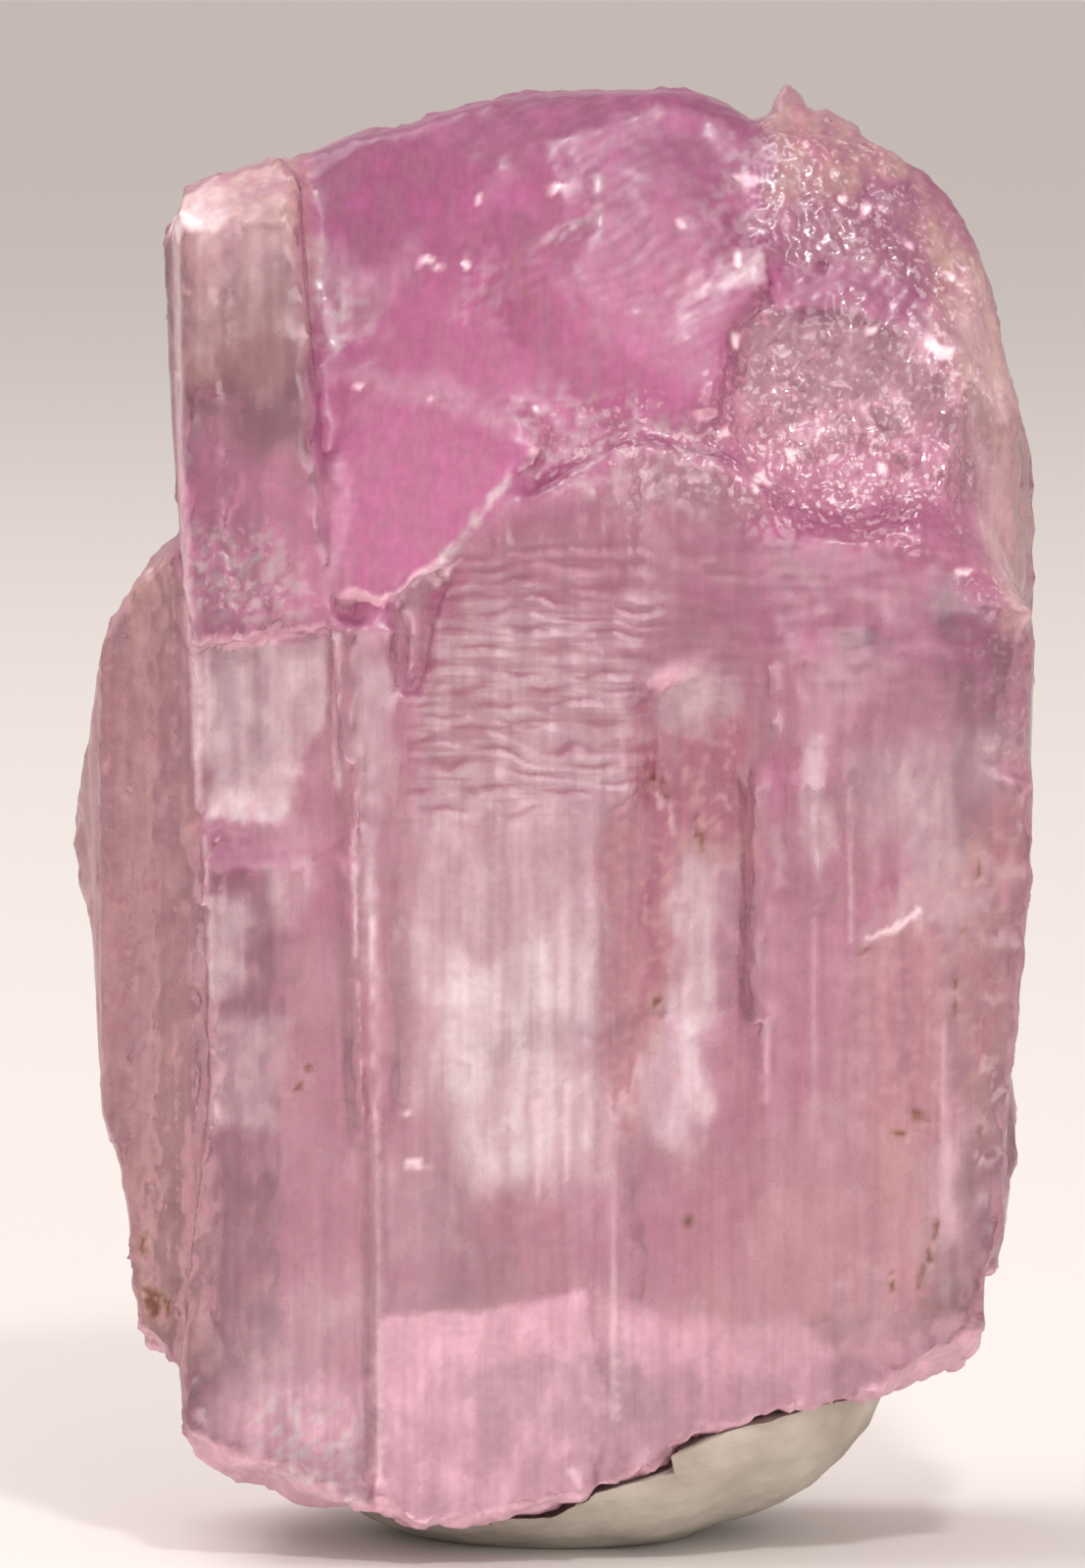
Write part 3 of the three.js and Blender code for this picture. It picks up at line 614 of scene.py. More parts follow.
SHADED = [
    # The lens window, the grooves beside it, and below it
    (1.0, 1.2, [
        (4.6, 38.6), (8.7, 39.0), (8.8, 34.0), (7.6, 33.4), (5.6, 33.0), (4.9, 27.0), (3.9, 24.0),
        (3.9, 37.0),
    ]),
    (0.4, 0.5, [(4.6, 37.8), (5.2, 37.4), (5.4, 32.0), (4.9, 27.0), (4.3, 26.0), (4.2, 36.0)]),
    (0.6, 0.8, [(1.9, 34.2), (3.9, 36.0), (4.4, 20.2), (2.2, 19.8)]),
    (0.45, 1.4, [(4.2, 20.0), (9.6, 20.4), (9.6, 16.4), (4.2, 16.0)]),
    # The right panel and its margin
    (0.65, 1.2, [
        (14.6, 27.4), (17.6, 31.4), (21.4, 34.6), (21.4, 28.0), (19.0, 20.0), (16.4, 19.0),
    ]),
    (0.55, 2.0, [(12.8, 26.0), (17.0, 29.0), (17.6, 21.0), (13.4, 20.0)]),
    (0.6, 1.2, [(19.6, 37.0), (21.9, 37.6), (21.9, 26.0), (20.4, 26.0)]),
    # The blade and the left column's top
    (0.25, 1.4, [(-22.4, 36.0), (-19.0, 44.0), (-16.8, 42.0), (-17.2, 26.0), (-20.6, 24.0)]),
    (0.3, 1.2, [(-17.4, 65.0), (-11.4, 66.4), (-11.6, 62.8), (-16.0, 62.2)]),
    # The middle facet, and below the alcove
    (0.3, 1.6, [(-1.4, 63.4), (6.4, 63.4), (7.0, 57.0), (4.6, 53.4), (1.4, 54.0), (-0.6, 58.0)]),
    (0.35, 2.0, [(9.0, 48.4), (19.4, 48.6), (21.0, 44.0), (12.0, 43.6)]),
]
FRONT_REGIONS = {
    "deep": DEEP, "pale": PALE, "tan": TAN, "bright": BRIGHT, "sparkling": SPARKLING,
    "gritty": GRITTY, "etched": ETCHED,
}

# ---- Lines on the front: strength, half width, route of (x, z) ----

RIDGES = [
    # Above the middle facet, over the wedge, and on the crown's lower edge
    (0.5, 0.4, [(1.9, 64.0), (1.7, 61.6), (0.7, 61.2), (-1.8, 60.7)]),
    (0.15, 0.5, [
        (-9.3, 53.2), (-5.4, 53.7), (-2.5, 53.0), (-0.7, 53.9), (4.0, 57.2), (5.9, 58.6),
    ]),
    (0.8, 0.5, [(-2.5, 50.2), (-4.6, 47.3), (-7.0, 44.6)]),
]
# Dark lines: painted shade on the walls of steps and grooves, and dark cracks
DARK_LINES = [
    # On the crown and the left column
    (0.6, 0.28, [(-11.5, 65.4), (-11.2, 60.0), (-10.7, 54.0)]),
    (0.8, 0.3, [(-17.3, 54.8), (-16.0, 54.0), (-14.4, 53.5)]),
    (0.9, 0.3, [(-1.8, 60.4), (-1.6, 59.0), (-1.1, 58.0)]),
    # At the peak's foot, beside the alcove, and on the right edge
    (0.6, 0.4, [(11.1, 66.8), (11.4, 65.4), (12.8, 64.4)]),
    (0.45, 0.35, [(17.4, 57.8), (18.7, 53.6), (18.9, 49.6)]),
    (0.4, 0.3, [(19.0, 58.4), (20.3, 52.6), (20.7, 46.0)]),
    (0.3, 0.25, [(19.8, 52.0), (19.9, 45.0)]),
    # Upright grooves and lines, from the left
    (0.6, 0.25, [(-16.3, 34.5), (-15.9, 28.0)]),
    (0.35, 0.22, [(-14.9, 26.0), (-14.6, 9.0)]),
    (0.6, 0.25, [(-12.3, 33.0), (-12.1, 28.0)]),
    (0.6, 0.24, [(-8.8, 34.0), (-8.6, 18.0), (-8.4, 2.4)]),
    (0.4, 0.22, [(-7.0, 35.6), (-6.9, 26.0)]),
    (0.35, 0.25, [(-2.2, 21.4), (-2.3, 17.6)]),
    (0.45, 0.22, [(1.9, 24.0), (2.1, 14.0), (2.3, 7.0)]),
    (0.6, 0.25, [(3.8, 48.0), (3.9, 42.0), (4.1, 38.8)]),
    (0.35, 0.22, [(5.4, 19.0), (5.6, 9.6)]),
    (0.5, 0.2, [(6.0, 30.6), (5.6, 22.6)]),
    (0.6, 0.22, [(8.8, 42.2), (9.0, 33.0), (8.6, 27.0), (8.2, 18.0)]),
    (0.4, 0.2, [(9.3, 40.0), (9.4, 31.0)]),
    (0.35, 0.2, [(10.9, 37.0), (11.0, 27.0)]),
    (0.4, 0.2, [(13.0, 37.6), (13.2, 28.0), (13.0, 21.0)]),
    (0.4, 0.24, [(16.2, 18.0), (16.0, 10.6)]),
    # Cracks across the block and the broad pane
    (0.6, 0.25, [(-12.3, 31.8), (-9.3, 33.8)]),
    (0.35, 0.22, [(-4.7, 34.5), (-3.6, 34.2), (-2.9, 33.7)]),
    (0.35, 0.22, [(-6.8, 30.1), (-5.0, 30.0), (-2.7, 29.3)]),
    (0.3, 0.2, [(-6.8, 27.7), (-4.4, 27.4)]),
    (0.4, 0.22, [(-6.8, 26.2), (-4.6, 25.7), (-2.7, 24.6)]),
    (0.3, 0.2, [(-6.8, 23.7), (-4.0, 23.4), (-2.5, 22.8)]),
]
# Light lines: painted highlights along the edges of steps and columns, and the pale scar
LIGHT_LINES = [
    # Upright lines and edges, from the left
    (0.6, 0.3, [(-17.3, 61.0), (-17.2, 52.0), (-16.6, 42.0), (-16.3, 35.0)]),
    (0.5, 0.22, [(-16.1, 33.6), (-16.0, 31.6)]),
    (0.6, 0.25, [(-9.9, 43.0), (-10.1, 38.6), (-9.9, 36.0)]),
    (0.5, 0.2, [(-9.2, 34.0), (-9.1, 28.4)]),
    (0.4, 0.2, [(-8.3, 30.0), (-8.1, 16.0), (-8.0, 4.0)]),
    (0.4, 0.25, [(-0.9, 21.6), (-0.8, 17.4)]),
    (0.4, 0.2, [(0.6, 22.4), (0.6, 18.0)]),
    (0.4, 0.2, [(2.5, 22.0), (2.7, 13.0), (2.8, 7.0)]),
    (0.5, 0.2, [(9.7, 25.4), (9.6, 21.6)]),
    (0.35, 0.2, [(11.9, 30.0), (12.0, 20.0)]),
    (0.4, 0.2, [(13.5, 36.0), (13.6, 29.0)]),
    (0.25, 0.24, [(17.9, 25.0), (18.0, 12.0)]),
    # The scar on the right panel
    (0.8, 0.22, [(14.2, 29.0), (15.4, 29.4), (16.6, 30.2)]),
]

# ---- Spots on the front: centre (x, z), half width and half height, lean in degrees ----

STAINS = [
    # The blade and the left block
    ((-22.0, 30.0), (0.2, 0.3), 0), ((-18.4, 11.4), (0.4, 1.2), 10),
    ((-18.9, 14.8), (0.3, 0.7), 0), ((-16.0, 26.1), (0.12, 1.1), 0),
    ((-11.5, 22.9), (0.35, 0.3), 0), ((-11.7, 22.1), (0.3, 0.25), 20),
    # The lens window, the grooves beside it, and below it
    ((4.9, 35.0), (0.16, 1.6), 0), ((4.5, 35.8), (0.2, 0.9), 0), ((5.0, 26.6), (0.12, 0.5), 0),
    ((6.6, 33.8), (0.4, 0.7), 0), ((6.8, 33.2), (0.3, 0.3), 0), ((6.2, 15.6), (0.3, 0.5), 0),
    # The right panel and its margin
    ((16.3, 20.8), (0.3, 0.4), -30), ((15.7, 19.9), (0.16, 0.5), -40),
    ((16.4, 22.6), (0.14, 0.5), 0), ((18.9, 29.4), (0.3, 0.35), 0),
    ((17.0, 14.4), (0.22, 2.8), -2), ((14.4, 28.4), (0.7, 0.16), 0),
    ((18.4, 26.4), (0.16, 1.2), -6), ((19.2, 32.0), (0.2, 1.0), -20),
    ((15.6, 12.6), (0.22, 1.1), 0),
]
SHADE_SPOTS = [((-1.1, 14.4), (0.5, 0.8), 0), ((-1.4, 16.6), (2.4, 1.8), 0)]
SHADE_SPOT_STRENGTH = 0.5
# Painted highlights: glints and bright spots on the left column, the crown, the shoulder and the
# alcove, and two light spots below the broad pane
LIGHT_SPOTS = [
    # The left column and the crown
    ((-17.0, 61.6), (0.5, 0.9), 10), ((-9.3, 53.8), (0.2, 0.2), 0), ((-5.6, 53.7), (0.2, 0.2), 0),
    ((-7.2, 44.0), (0.25, 0.25), 0), ((-5.1, 45.9), (0.6, 0.3), 40),
    ((-5.7, 60.0), (0.3, 0.25), 0), ((-4.3, 60.0), (0.25, 0.2), 0), ((-3.3, 62.7), (0.2, 0.3), 0),
    ((-0.4, 63.4), (0.7, 0.25), 0), ((8.5, 63.9), (0.35, 0.35), 0), ((6.0, 61.8), (0.2, 0.2), 0),
    ((8.2, 60.2), (0.4, 0.25), 30),
    # The shoulder and the alcove
    ((14.5, 62.0), (0.4, 0.4), 0), ((13.2, 62.7), (0.3, 0.3), 0), ((16.3, 60.5), (0.35, 0.4), 0),
    ((17.9, 59.0), (0.25, 0.35), 0), ((17.4, 56.0), (0.3, 0.7), 40),
    ((18.9, 46.1), (0.2, 0.3), 0), ((15.1, 50.4), (0.3, 0.35), 0), ((10.9, 51.5), (0.35, 0.3), 0),
    ((9.6, 49.7), (0.4, 0.35), 0), ((8.2, 56.6), (0.3, 0.3), 0), ((7.8, 52.2), (0.5, 0.25), 30),
    ((14.6, 57.2), (0.7, 0.25), 40),
    # Below the broad pane
    ((-6.2, 18.8), (0.7, 0.2), 0), ((-7.0, 21.0), (0.3, 0.2), 0),
]

# ---- How strongly the crystal's traits show ----


def front_masks(places, front):
    """The strengths of what is placed on the front, by name."""
    at = wandering(places)
    masks = {trait: front * strongest(at, regions) for trait, regions in FRONT_REGIONS.items()}
    shades = [
        strokes(places, DARK_LINES),
        SHADE_SPOT_STRENGTH * spots(at, SHADE_SPOTS),
        strongest(at, SHADED),
    ]
    shines = np.maximum(strokes(places, LIGHT_LINES), spots(at, LIGHT_SPOTS))
    masks["rippled"] = front * strongest(places, RIPPLES)
    masks["stain"] = front * spots(at, STAINS)
    # Painted shade, together with the dark cracks among the dark lines
    masks["shade"] = front * np.max(shades, axis=0)
    masks["shine"] = front * shines
    masks["ridge"] = front * strokes(at, RIDGES) * ramp(grain(places, 0.7, seed=110.0), -0.7, 0.2)
    # The sparkling mask carries painted glints
    masks["sparkling"] *= ramp(grain(places, 0.7, seed=130.0), -0.9, 0.3)
    return masks


def crystal_masks(places, normals):
    """The strength of each trait at each place, from 0 to 1, by name."""
    front = ramp(-normals[:, 1], *FACING_FRONT)
    away = 1 - front
    high = ramp(places[:, 2] + 5 * grain(places, 0.1, seed=70.0), *BACK_DEEP_HEIGHTS)
    veiled = ramp(grain(places, (0.14, 0.14, 0.05), seed=80.0), 0.1, 0.7)
    rusty = ramp(grain(places, (0.16, 0.16, 0.04), seed=90.0), 0.2, 0.8)
    crown = np.maximum(ramp(normals[:, 2], *FACING_UP), front * patch(places, CROWN, 1.5))
    masks = front_masks(places, front)
    masks["deep"] += away * BACK_DEEP * high
    masks["pale"] += away * BACK_PALE * veiled
    masks["tan"] += away * BACK_TAN * rusty
    masks["crown"] = crown
    # Painted shade: the crown's faces that face up are tinted a darker magenta, so that they show
    # less of the light falling on them from above
    masks["raised"] = front * crown * ramp(normals[:, 2], *FACING_WELL_UP)
    # The faces that face down: broken, with frost and splintery relief, and tinted bright pink as
    # a painted glow of light through the foot
    masks["broken"] = ramp(-normals[:, 2], *FACING_DOWN)
    return masks


# ---- The crystal's colour and finish ----


def colour(red, green, blue):
    """An sRGB colour from 0 to 255 as the linear one that shaders take."""
    linear = [
        c / 12.92 if c <= 0.04045 else ((c + 0.055) / 1.055) ** 2.4
        for c in (red / 255, green / 255, blue / 255)
    ]
    return (*linear, 1.0)


ROSE = colour(200, 150, 164)
LIGHT_ROSE = colour(216, 176, 187)
MAGENTA = colour(198, 96, 154)
MILKY = colour(236, 218, 222)
IRON_TAN = colour(210, 168, 158)
# Bright pink: mostly painted light, as the foot's glow and over shaded hollows
BRIGHT_PINK = colour(242, 190, 207)
# Dark rose: the colour of painted shade, on shaded parts of the front, step walls and ripple
# grooves, and of dark cracks
DARK_ROSE = colour(166, 100, 120)
IRON_STAIN = colour(112, 58, 34)
# The darker magenta of the painted shade on the crown's faces that face up
SHADED_TOP_MAGENTA = colour(160, 76, 124)
GLINTING = colour(255, 226, 232)
DARK_PUTTY = colour(176, 165, 151)
LIGHT_PUTTY = colour(208, 199, 184)
FLOOR_COLOUR = colour(232, 228, 225)

# The tints that are laid over the rose, one over the other: the trait, how much it tints, the
# pattern that thins it out, the pattern's values where the trait is thinnest and where it is
# whole, the share of it that is left where it is thinnest, and the colour
TINTS = [
    ("deep", 1.0, "wisps", (0.35, 0.6), 0.7, MAGENTA),
    # Painted shade on the crown's faces that face up
    ("raised", 0.8, "wisps", (0.35, 0.6), 1.0, SHADED_TOP_MAGENTA),
    ("tan", 1.0, "streaks", (0.38, 0.6), 0.45, IRON_TAN),
    ("pale", 1.0, "veils", (0.4, 0.57), 0.55, MILKY),
    # Painted shade in the ripples' grooves and painted light on their crests
    ("rippled", 0.8, "ripples", (-0.3, -0.9), 0.0, DARK_ROSE),
    ("rippled", 0.35, "ripples", (0.1, 0.8), 0.0, MILKY),
    # Mostly painted light: the foot's glow, and light over shaded hollows
    ("bright", 1.0, "wisps", (0.35, 0.6), 0.7, BRIGHT_PINK),
    # Painted glow: the faces that face down, broken at the foot, tinted bright pink
    ("broken", 1.0, "wisps", (0.35, 0.6), 0.7, BRIGHT_PINK),
    ("ridge", 1.0, "specks", (0.38, 0.6), 0.2, MILKY),
    ("gritty", 1.0, "specks", (0.46, 0.62), 0.0, MILKY),
    ("shade", 1.0, "specks", (0.35, 0.5), 0.5, DARK_ROSE),
    ("shine", 1.0, "specks", (0.35, 0.5), 0.5, GLINTING),
    ("stain", 1.0, "specks", (0.38, 0.5), 0.4, IRON_STAIN),
]

# What each trait takes from the clearness and adds to the roughness
HAZES = {
    "pale": 0.3, "tan": 0.15, "stain": 0.7, "shine": 0.5, "bright": 0.35,
    "broken": 0.45, "crown": 0.3, "shade": 0.3,
}
FROSTS = {"broken": 0.2, "crown": 0.16, "etched": -0.12, "gritty": -0.12, "ridge": -0.12}
WISPY_HAZE = 0.15
WISPY_FROST = 0.12
ROUGHNESS = 0.18
ROUGHNESS_RANGE = (0.08, 1.0)


def crystal_patterns(places):
    """The patterns of the tints, by name: about 0.3 to 0.7, but -1 to 1 for the ripples."""
    wisps = clouds(places, (0.9, 0.9, 0.55), seed=31.0)
    streaks = clouds(places, (1.5, 1.5, 0.1), seed=32.0)
    return {
        "wisps": wisps,
        "streaks": streaks,
        "veils": 0.5 * wisps + 0.5 * streaks,
        "specks": clouds(places, 1.8, seed=34.0),
        "ripples": ripple_waves(places),
    }


def crystal_tint(places, masks, patterns):
    """The crystal's base colour at each place."""
    light = ramp(clouds(places, 0.3, seed=30.0), 0.42, 0.62)
    tint = mixed(0.55 * light, ROSE, LIGHT_ROSE)
    for trait, amount, pattern, (thin, whole), least, tone in TINTS:
        share = masks[trait] * (least + (1 - least) * ramp(patterns[pattern], thin, whole))
        tint = mixed(amount * share, tint, tone)
    shades = 1 + (1 - masks["crown"]) * (0.14 * ramp(patterns["streaks"], 0.35, 0.65) - 0.07)
    return tint * np.stack([shades, shades, shades, np.ones(len(shades))], 1)


def crystal_finish(masks, wisps):
    """What the material reads beside the tint: haze, roughness, and where painted glints and the
    ripples' painted shade show.
    """
    haze = sum(masks[trait] * amount for trait, amount in HAZES.items())
    frost = sum(masks[trait] * amount for trait, amount in FROSTS.items())
    roughness = ROUGHNESS + frost + WISPY_FROST * ramp(wisps, 0.35, 0.65)
    return {
        "haze": haze + WISPY_HAZE * ramp(wisps, 0.5, 0.75),
        "sparkling": masks["sparkling"],
        "rippled": masks["rippled"],
        "frost": np.clip(roughness, *ROUGHNESS_RANGE),
    }


# ---- The crystal's relief ----


def striations(places, rippled):
    """Upright treads with fine lines on them, fainter among the ripples, on slight waves."""
    wander = 1.2 * grain(places, (0.9, 0.9, 0.03), seed=7.0)
    treads = ledges(places, (1.0, 0.25, 0.0), STRIA_SPACING, STRIA_HEIGHT, wander)
    lines = FINE_STRIA_HEIGHT * grain(places, (2.0, 2.0, 0.06), seed=9.0)
    waves = WAVE_HEIGHT * grain(places, (0.2, 0.2, 0.12), seed=13.0)
    return (treads + lines) * (1 - 0.8 * rippled) + waves


def crown_steps(places, broken_up):
    """The crown's growth treads, broken up here and there, with fine hatches across them."""
    wander = 0.7 * grain(places, 0.15, seed=5.0)
    treads = ledges(places, (0.32, 0.2, 1.0), TREAD_SPACING, TREAD_HEIGHT, wander)
    wander = 0.6 * grain(places, 0.4, seed=6.0)
    hatches = swells(places, (-0.5, 0.0, 1.0), HATCH_SPACING, HATCH_HEIGHT, wander)
    return treads * broken_up + hatches


def hillocks(places):
    """The bumps that etching has left."""
    bumps = HILLOCK_HEIGHT * domes(places, 0.8) + SMALL_HILLOCK_HEIGHT * domes(places, 1.6)
    return bumps + HILLOCK_GRAIN_HEIGHT * grain(places, 3.0, seed=120.0)


def fracture(places):
    """The splintery surface of a break."""
    return FRACTURE_HEIGHT * grain(places, 0.5, seed=3.0) + SPLINTER_HEIGHT * grain(places, 1.8)


def crystal_relief(places, normals, masks):
    """How far each point moves outwards."""
    upright = ramp(np.abs(normals[:, 2]), *UPRIGHT)
    smooth = 1 - masks["etched"]
    crown = masks["crown"]
    broken_up = ramp(grain(places, (0.5, 0.5, 0.9), seed=23.0), -0.6, 0.4)
    grit = GRIT_HEIGHT + GRITTY_HEIGHT * masks["gritty"] + RIDGE_GRIT_HEIGHT * masks["ridge"]
    return (
        smooth * upright * (1 - crown) * striations(places, masks["rippled"])
        + masks["rippled"] * broken_up * (RIPPLE_HEIGHT * ripple_waves(places))
        + smooth * crown * crown_steps(places, broken_up)
        + grit * grain(places, 2.4, seed=8.0)
        + RIDGE_HEIGHT * masks["ridge"]
        + masks["etched"] * hillocks(places)
        + masks["broken"] * fracture(places)
    )


# ---- The crystal ----


def crystal_edge_limit(at):
    """The longest edge allowed at each place."""
    limit = np.where(at[:, 1] < FRONT_DEPTH, FRONT_EDGE, PLAIN_EDGE)
    bare = (at[:, 1] < ETCHED_DEPTH) & (patches(at, BARE, ETCHED_MARGIN) > 0)
    return np.where(bare, ETCHED_EDGE, limit)


def fine_mesh(node):
    """The surface of a CAD node in small triangles."""
    points, triangles = solid_of(node)
    surface = BVHTree.FromPolygons(points.tolist(), triangles.tolist())
    points, triangles = even(points, triangles, CELL)
    points, triangles = refined(points, triangles, crystal_edge_limit)
    return settled(points, surface), triangles


def zone(points, depths, outlines, soft):
    """1 within the outlines from a depth on, 0 elsewhere."""
    return ramp(points[:, 1], *depths) * patches(points, outlines, soft)


def worn_down(fresh, triangles):
    """The points of a fresh solid with its edges worn, each zone by its own rounds."""
    points = softened(fresh, triangles, ALL_ROUNDS)
    worn = zone(fresh, OUTER_FACES, [WORN], 2.5)
    bare = zone(fresh, FRONT_HALF, BARE, 2.5)
    crown = zone(points, FRONT_HALF, [CROWN], 2.0)
    steps = zone(points, OUTER_FACES, FADED, 1.6)
    rim = zone(points, FRONT_HALF, FACET_RIM, 1.6)
    for share, rounds in (
        (worn, WORN_ROUNDS),
        (crown, CROWN_ROUNDS),
        (np.maximum(steps, rim), FADED_ROUNDS),
        (bare, BARE_ROUNDS),
    ):
        points = points + (softened(points, triangles, rounds) - points) * share[:, None]
    return points


def ragged(points, triangles):
    """The points pushed about, most on the edges, which a little softening would move."""
    moved = np.linalg.norm(softened(points, triangles, RAGGED_ROUNDS) - points, axis=1)
    pushes = np.stack([grain(points, (1.3, 1.3, 0.9), 50.0 + axis) for axis in range(3)], 1)
    return points + pushes * (RAGGED_FACE + RAGGED_EDGE * ramp(moved, *RAGGED_MOVES))[:, None]


def make_crystal(node):
    points, triangles = fine_mesh(node)
    points = ragged(worn_down(points, triangles), triangles)
    points[:, 2] += PEAK_LIFT * ramp(points[:, 2], *PEAK_HEIGHTS) * spot(points, PEAK, PEAK_RADII)
    normals = normals_of(points, triangles)
    masks = crystal_masks(points, normals)
    points = points + normals * crystal_relief(points, normals, masks)[:, None]
    patterns = crystal_patterns(points)
    tint = crystal_tint(points, masks, patterns)
    layers = {"tint": tint, **crystal_finish(masks, patterns["wisps"])}
    return mesh_object("kunzite", points, triangles, CRYSTAL_CREASE, layers)


# ---- The putty ----


def make_putty(node):
    points, triangles = solid_of(node)
    points, triangles = refined(points, triangles, lambda at: np.full(len(at), PUTTY_EDGE))
    normals = normals_of(points, triangles)
    free = ramp(points[:, 2], 0.0, PUTTY_FOOT)
    lumps = LUMP_HEIGHT * grain(points, 0.22) + SMALL_LUMP_HEIGHT * grain(points, 1.2)
    points = points + normals * (free * lumps)[:, None]
    return mesh_object("putty", points, triangles, PUTTY_CREASE)


# ---- Materials ----


class Nodes:
    """Builds a material's nodes: each call adds one and returns one of its outputs."""

    def __init__(self, name):
        self.material = bpy.data.materials.new(name)
        self.material.use_nodes = True
        self.tree = self.material.node_tree
        self.shader = self.tree.nodes["Principled BSDF"]
        self.output = self.tree.nodes["Material Output"]

    def feed(self, socket, value):
        """Links a socket to another one, or sets it to a plain value."""
        if isinstance(value, bpy.types.NodeSocket):
            self.tree.links.new(value, socket)
        else:
            socket.default_value = value

    def add(self, kind, inputs=(), output=0, **settings):
        node = self.tree.nodes.new("ShaderNode" + kind)
        for name, value in settings.items():
            setattr(node, name, value)
        for socket, value in dict(inputs).items():
            self.feed(node.inputs[socket], value)
        return node.outputs[output]

    def set(self, **inputs):
        """Sets the shader's inputs, whose names have _ in place of a space."""
        for name, value in inputs.items():
            self.feed(self.shader.inputs[name.replace("_", " ")], value)

    def layer(self, name, output="Fac"):
        """A layer of the mesh, as a number or as a colour."""
        return self.add("Attribute", output=output, attribute_name=name)

    def math(self, operation, a, b, clamp=False):
        return self.add("Math", {0: a, 1: b}, operation=operation, use_clamp=clamp)

    def times(self, a, b):
        return self.math("MULTIPLY", a, b)

    def mix(self, share, a, b):
        """Goes from colour a at share 0 to colour b at share 1."""
        return self.add("Mix", {0: share, 6: a, 7: b}, output=2, data_type="RGBA")

    def noise(self, places, scale, detail):
        """Noise, mostly 0.3 to 0.7, whose features are one mm over scale across."""
        return self.add(
            "TexNoise", {"Vector": places, "Scale": scale, "Detail": detail}, output="Fac"
        )

    def span(self, value, low, high, start=0.0, end=1.0):
        """Maps low..high to start..end."""
        return self.add(
            "MapRange", {0: value, 1: low, 2: high, 3: start, 4: end}, clamp=True
        )

    def places(self, stretch=(1.0, 1.0, 1.0)):
        """Object coordinates in mm, each multiplied by its stretch."""
        at = self.add("TexCoord", output="Object")
        return self.add("Mapping", {"Vector": at, "Scale": [s / MM for s in stretch]})


def kunzite_material():
    nodes = Nodes("kunzite")
    speckle = nodes.noise(nodes.places(), scale=2.6, detail=1.0)
    lines = nodes.noise(nodes.places((1.0, 1.0, 0.05)), scale=4.0, detail=1.0)
    level = nodes.noise(nodes.places((0.12, 0.12, 1.0)), scale=2.6, detail=1.0)
    sparks = nodes.noise(nodes.places(), scale=3.0, detail=1.0)
    grainy = nodes.math("ADD", nodes.times(speckle, 0.5), nodes.times(lines, 0.5))
    # Painted shade: fine dark lines across the rippled zone
    furrow_shade = nodes.times(nodes.span(level, 0.5, 0.38), nodes.times(nodes.layer("rippled"), 0.5))
    # Painted glints: white specks laid into the base colour where the mesh is sparkling
    glints = nodes.times(nodes.span(sparks, 0.57, 0.64), nodes.layer("sparkling"))
    tint = nodes.add("HueSaturation", {
        "Value": nodes.span(grainy, 0.35, 0.65, start=0.88, end=1.08),
        "Color": nodes.layer("tint", output="Color"),
    })
    tint = nodes.mix(furrow_shade, tint, DARK_ROSE)
    nodes.set(
        Base_Color=nodes.mix(glints, tint, GLINTING),
        Roughness=nodes.layer("frost"),
        IOR=REFRACTION,
        Transmission_Weight=nodes.math("SUBTRACT", CLEARNESS, nodes.layer("haze"), clamp=True),
    )
    depths = nodes.add(
        "VolumeAbsorption", {"Color": ABSORPTION_TINT, "Density": ABSORPTION_DENSITY}
    )
    nodes.tree.links.new(depths, nodes.output.inputs["Volume"])
    return nodes.material


def putty_material():
    nodes = Nodes("putty")
    mottle = nodes.noise(nodes.places(), scale=0.25, detail=4.0)
    fine = nodes.noise(nodes.places(), scale=2.5, detail=4.0)
    height = nodes.math("ADD", mottle, nodes.times(fine, 0.4))
    bump = nodes.add("Bump", {"Strength": 0.5, "Distance": PUTTY_BUMP * MM, "Height": height})
    nodes.set(
        Base_Color=nodes.mix(nodes.span(mottle, 0.35, 0.65), DARK_PUTTY, LIGHT_PUTTY),
        Roughness=nodes.span(fine, 0.3, 0.7, start=0.6, end=0.85),
        IOR=PUTTY_REFRACTION,
        Normal=bump,
    )
    return nodes.material


# ---- Stage, lights and camera ----

FLOOR_SIZE = 60000.0
FLOOR_ROUGHNESS = 0.7

WORLD_COLOUR = (0.69, 0.62, 0.60, 1.0)
WORLD_STRENGTH = 0.97
LIGHTS = [  # name, place, width, power in watts, colour
    ("key", (-450, 150, 900), 800, 5.6, (1.0, 0.97, 0.94)),
    ("fill", (300, -900, 260), 600, 2.6, (1.0, 0.98, 0.97)),
    ("glint", (60, -230, 300), 40, 0.42, (1.0, 1.0, 1.0)),
]
LIGHTS_AIM = (0, 0, 30)


def make_floor():
    half = FLOOR_SIZE / 2 * MM
    corners = [(-half, -half, 0), (half, -half, 0), (half, half, 0), (-half, half, 0)]
    mesh = bpy.data.meshes.new("floor")
    mesh.from_pydata(corners, [], [(0, 1, 2, 3)])
    nodes = Nodes("floor")
    nodes.set(Base_Color=FLOOR_COLOUR, Roughness=FLOOR_ROUGHNESS)
    mesh.materials.append(nodes.material)
    floor = bpy.data.objects.new("floor", mesh)
    bpy.context.scene.collection.objects.link(floor)


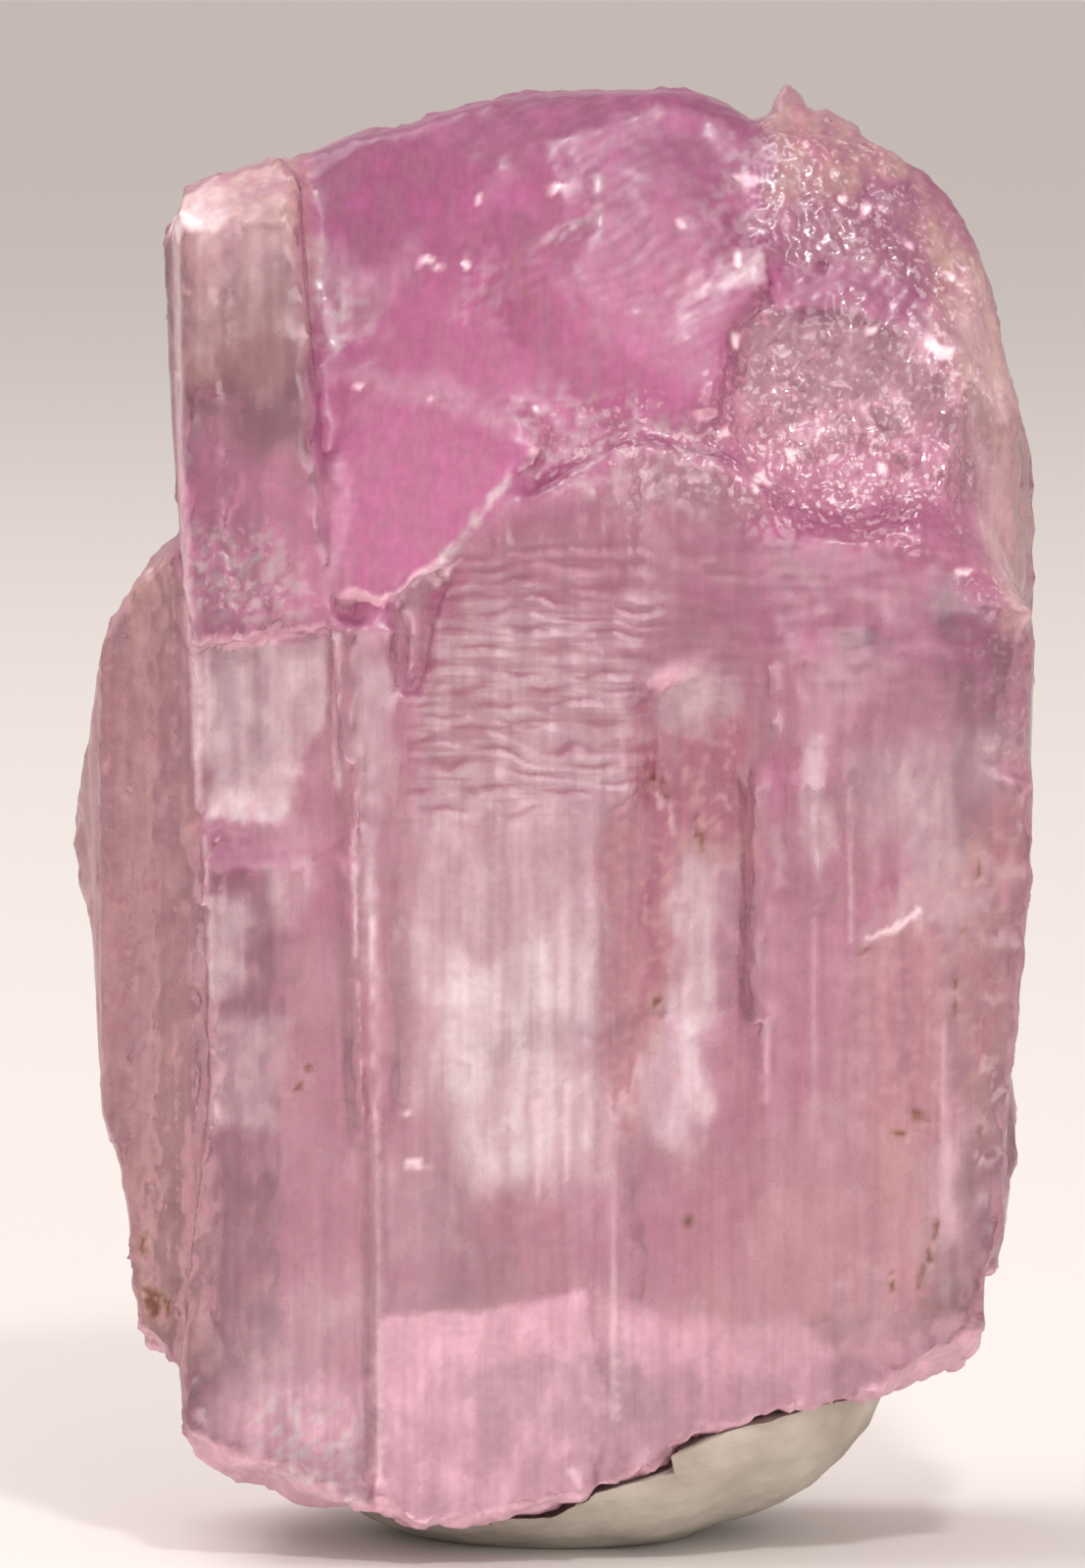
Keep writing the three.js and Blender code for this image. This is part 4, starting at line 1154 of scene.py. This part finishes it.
def area_light(name, place, width, power, tint):
    """A round lamp that faces the middle of the object."""
    light = bpy.data.lights.new(name, "AREA")
    light.shape = "DISK"
    light.size = width * MM
    light.energy = power
    light.color = tint
    made = bpy.data.objects.new(name, light)
    bpy.context.scene.collection.objects.link(made)
    made.location = Vector(place) * MM
    toward = (Vector(LIGHTS_AIM) - Vector(place)).normalized()
    made.rotation_euler = toward.to_track_quat("-Z", "Y").to_euler()


def make_lights():
    world = bpy.data.worlds.new("studio")
    world.use_nodes = True
    background = world.node_tree.nodes["Background"]
    background.inputs["Color"].default_value = WORLD_COLOUR
    background.inputs["Strength"].default_value = WORLD_STRENGTH
    bpy.context.scene.world = world
    for lamp in LIGHTS:
        area_light(*lamp)


def limit_bounces():
    """Light that has crossed the crystal a few times adds nothing that shows."""
    cycles = bpy.context.scene.cycles
    cycles.max_bounces = 4
    cycles.transmission_bounces = 4
    cycles.glossy_bounces = 2
    cycles.diffuse_bounces = 2


def make_camera():
    camera = bpy.data.cameras.new("camera")
    camera.sensor_width = SENSOR
    camera.lens = SENSOR * CAMERA_DISTANCE / PICTURE_HEIGHT
    camera.clip_start, camera.clip_end = CAMERA_CLIP
    made = bpy.data.objects.new("camera", camera)
    bpy.context.scene.collection.objects.link(made)
    tilt = math.radians(CAMERA_ELEVATION)
    away = Vector((0, -math.cos(tilt), math.sin(tilt)))
    made.location = (Vector(PICTURE_CENTRE) + away * CAMERA_DISTANCE) * MM
    made.rotation_euler = (-away).to_track_quat("-Z", "Y").to_euler()
    bpy.context.scene.camera = made


# ---- The object ----

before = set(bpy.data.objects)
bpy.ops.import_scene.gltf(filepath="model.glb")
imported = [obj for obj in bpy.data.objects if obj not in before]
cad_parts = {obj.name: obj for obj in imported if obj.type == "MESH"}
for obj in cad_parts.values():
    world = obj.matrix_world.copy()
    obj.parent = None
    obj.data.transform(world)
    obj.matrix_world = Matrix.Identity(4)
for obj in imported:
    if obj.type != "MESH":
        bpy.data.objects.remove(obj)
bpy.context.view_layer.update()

crystal = make_crystal(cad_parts["kunzite_crystal"])
crystal.data.materials.append(kunzite_material())
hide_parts("kunzite_crystal")
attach(crystal, "root")

putty = make_putty(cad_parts["putty_mound"])
putty.data.materials.append(putty_material())
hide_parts("putty_mound")
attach(putty, "root")

make_floor()
make_lights()
make_camera()
limit_bounces()
bpy.context.scene.view_settings.view_transform = "Standard"
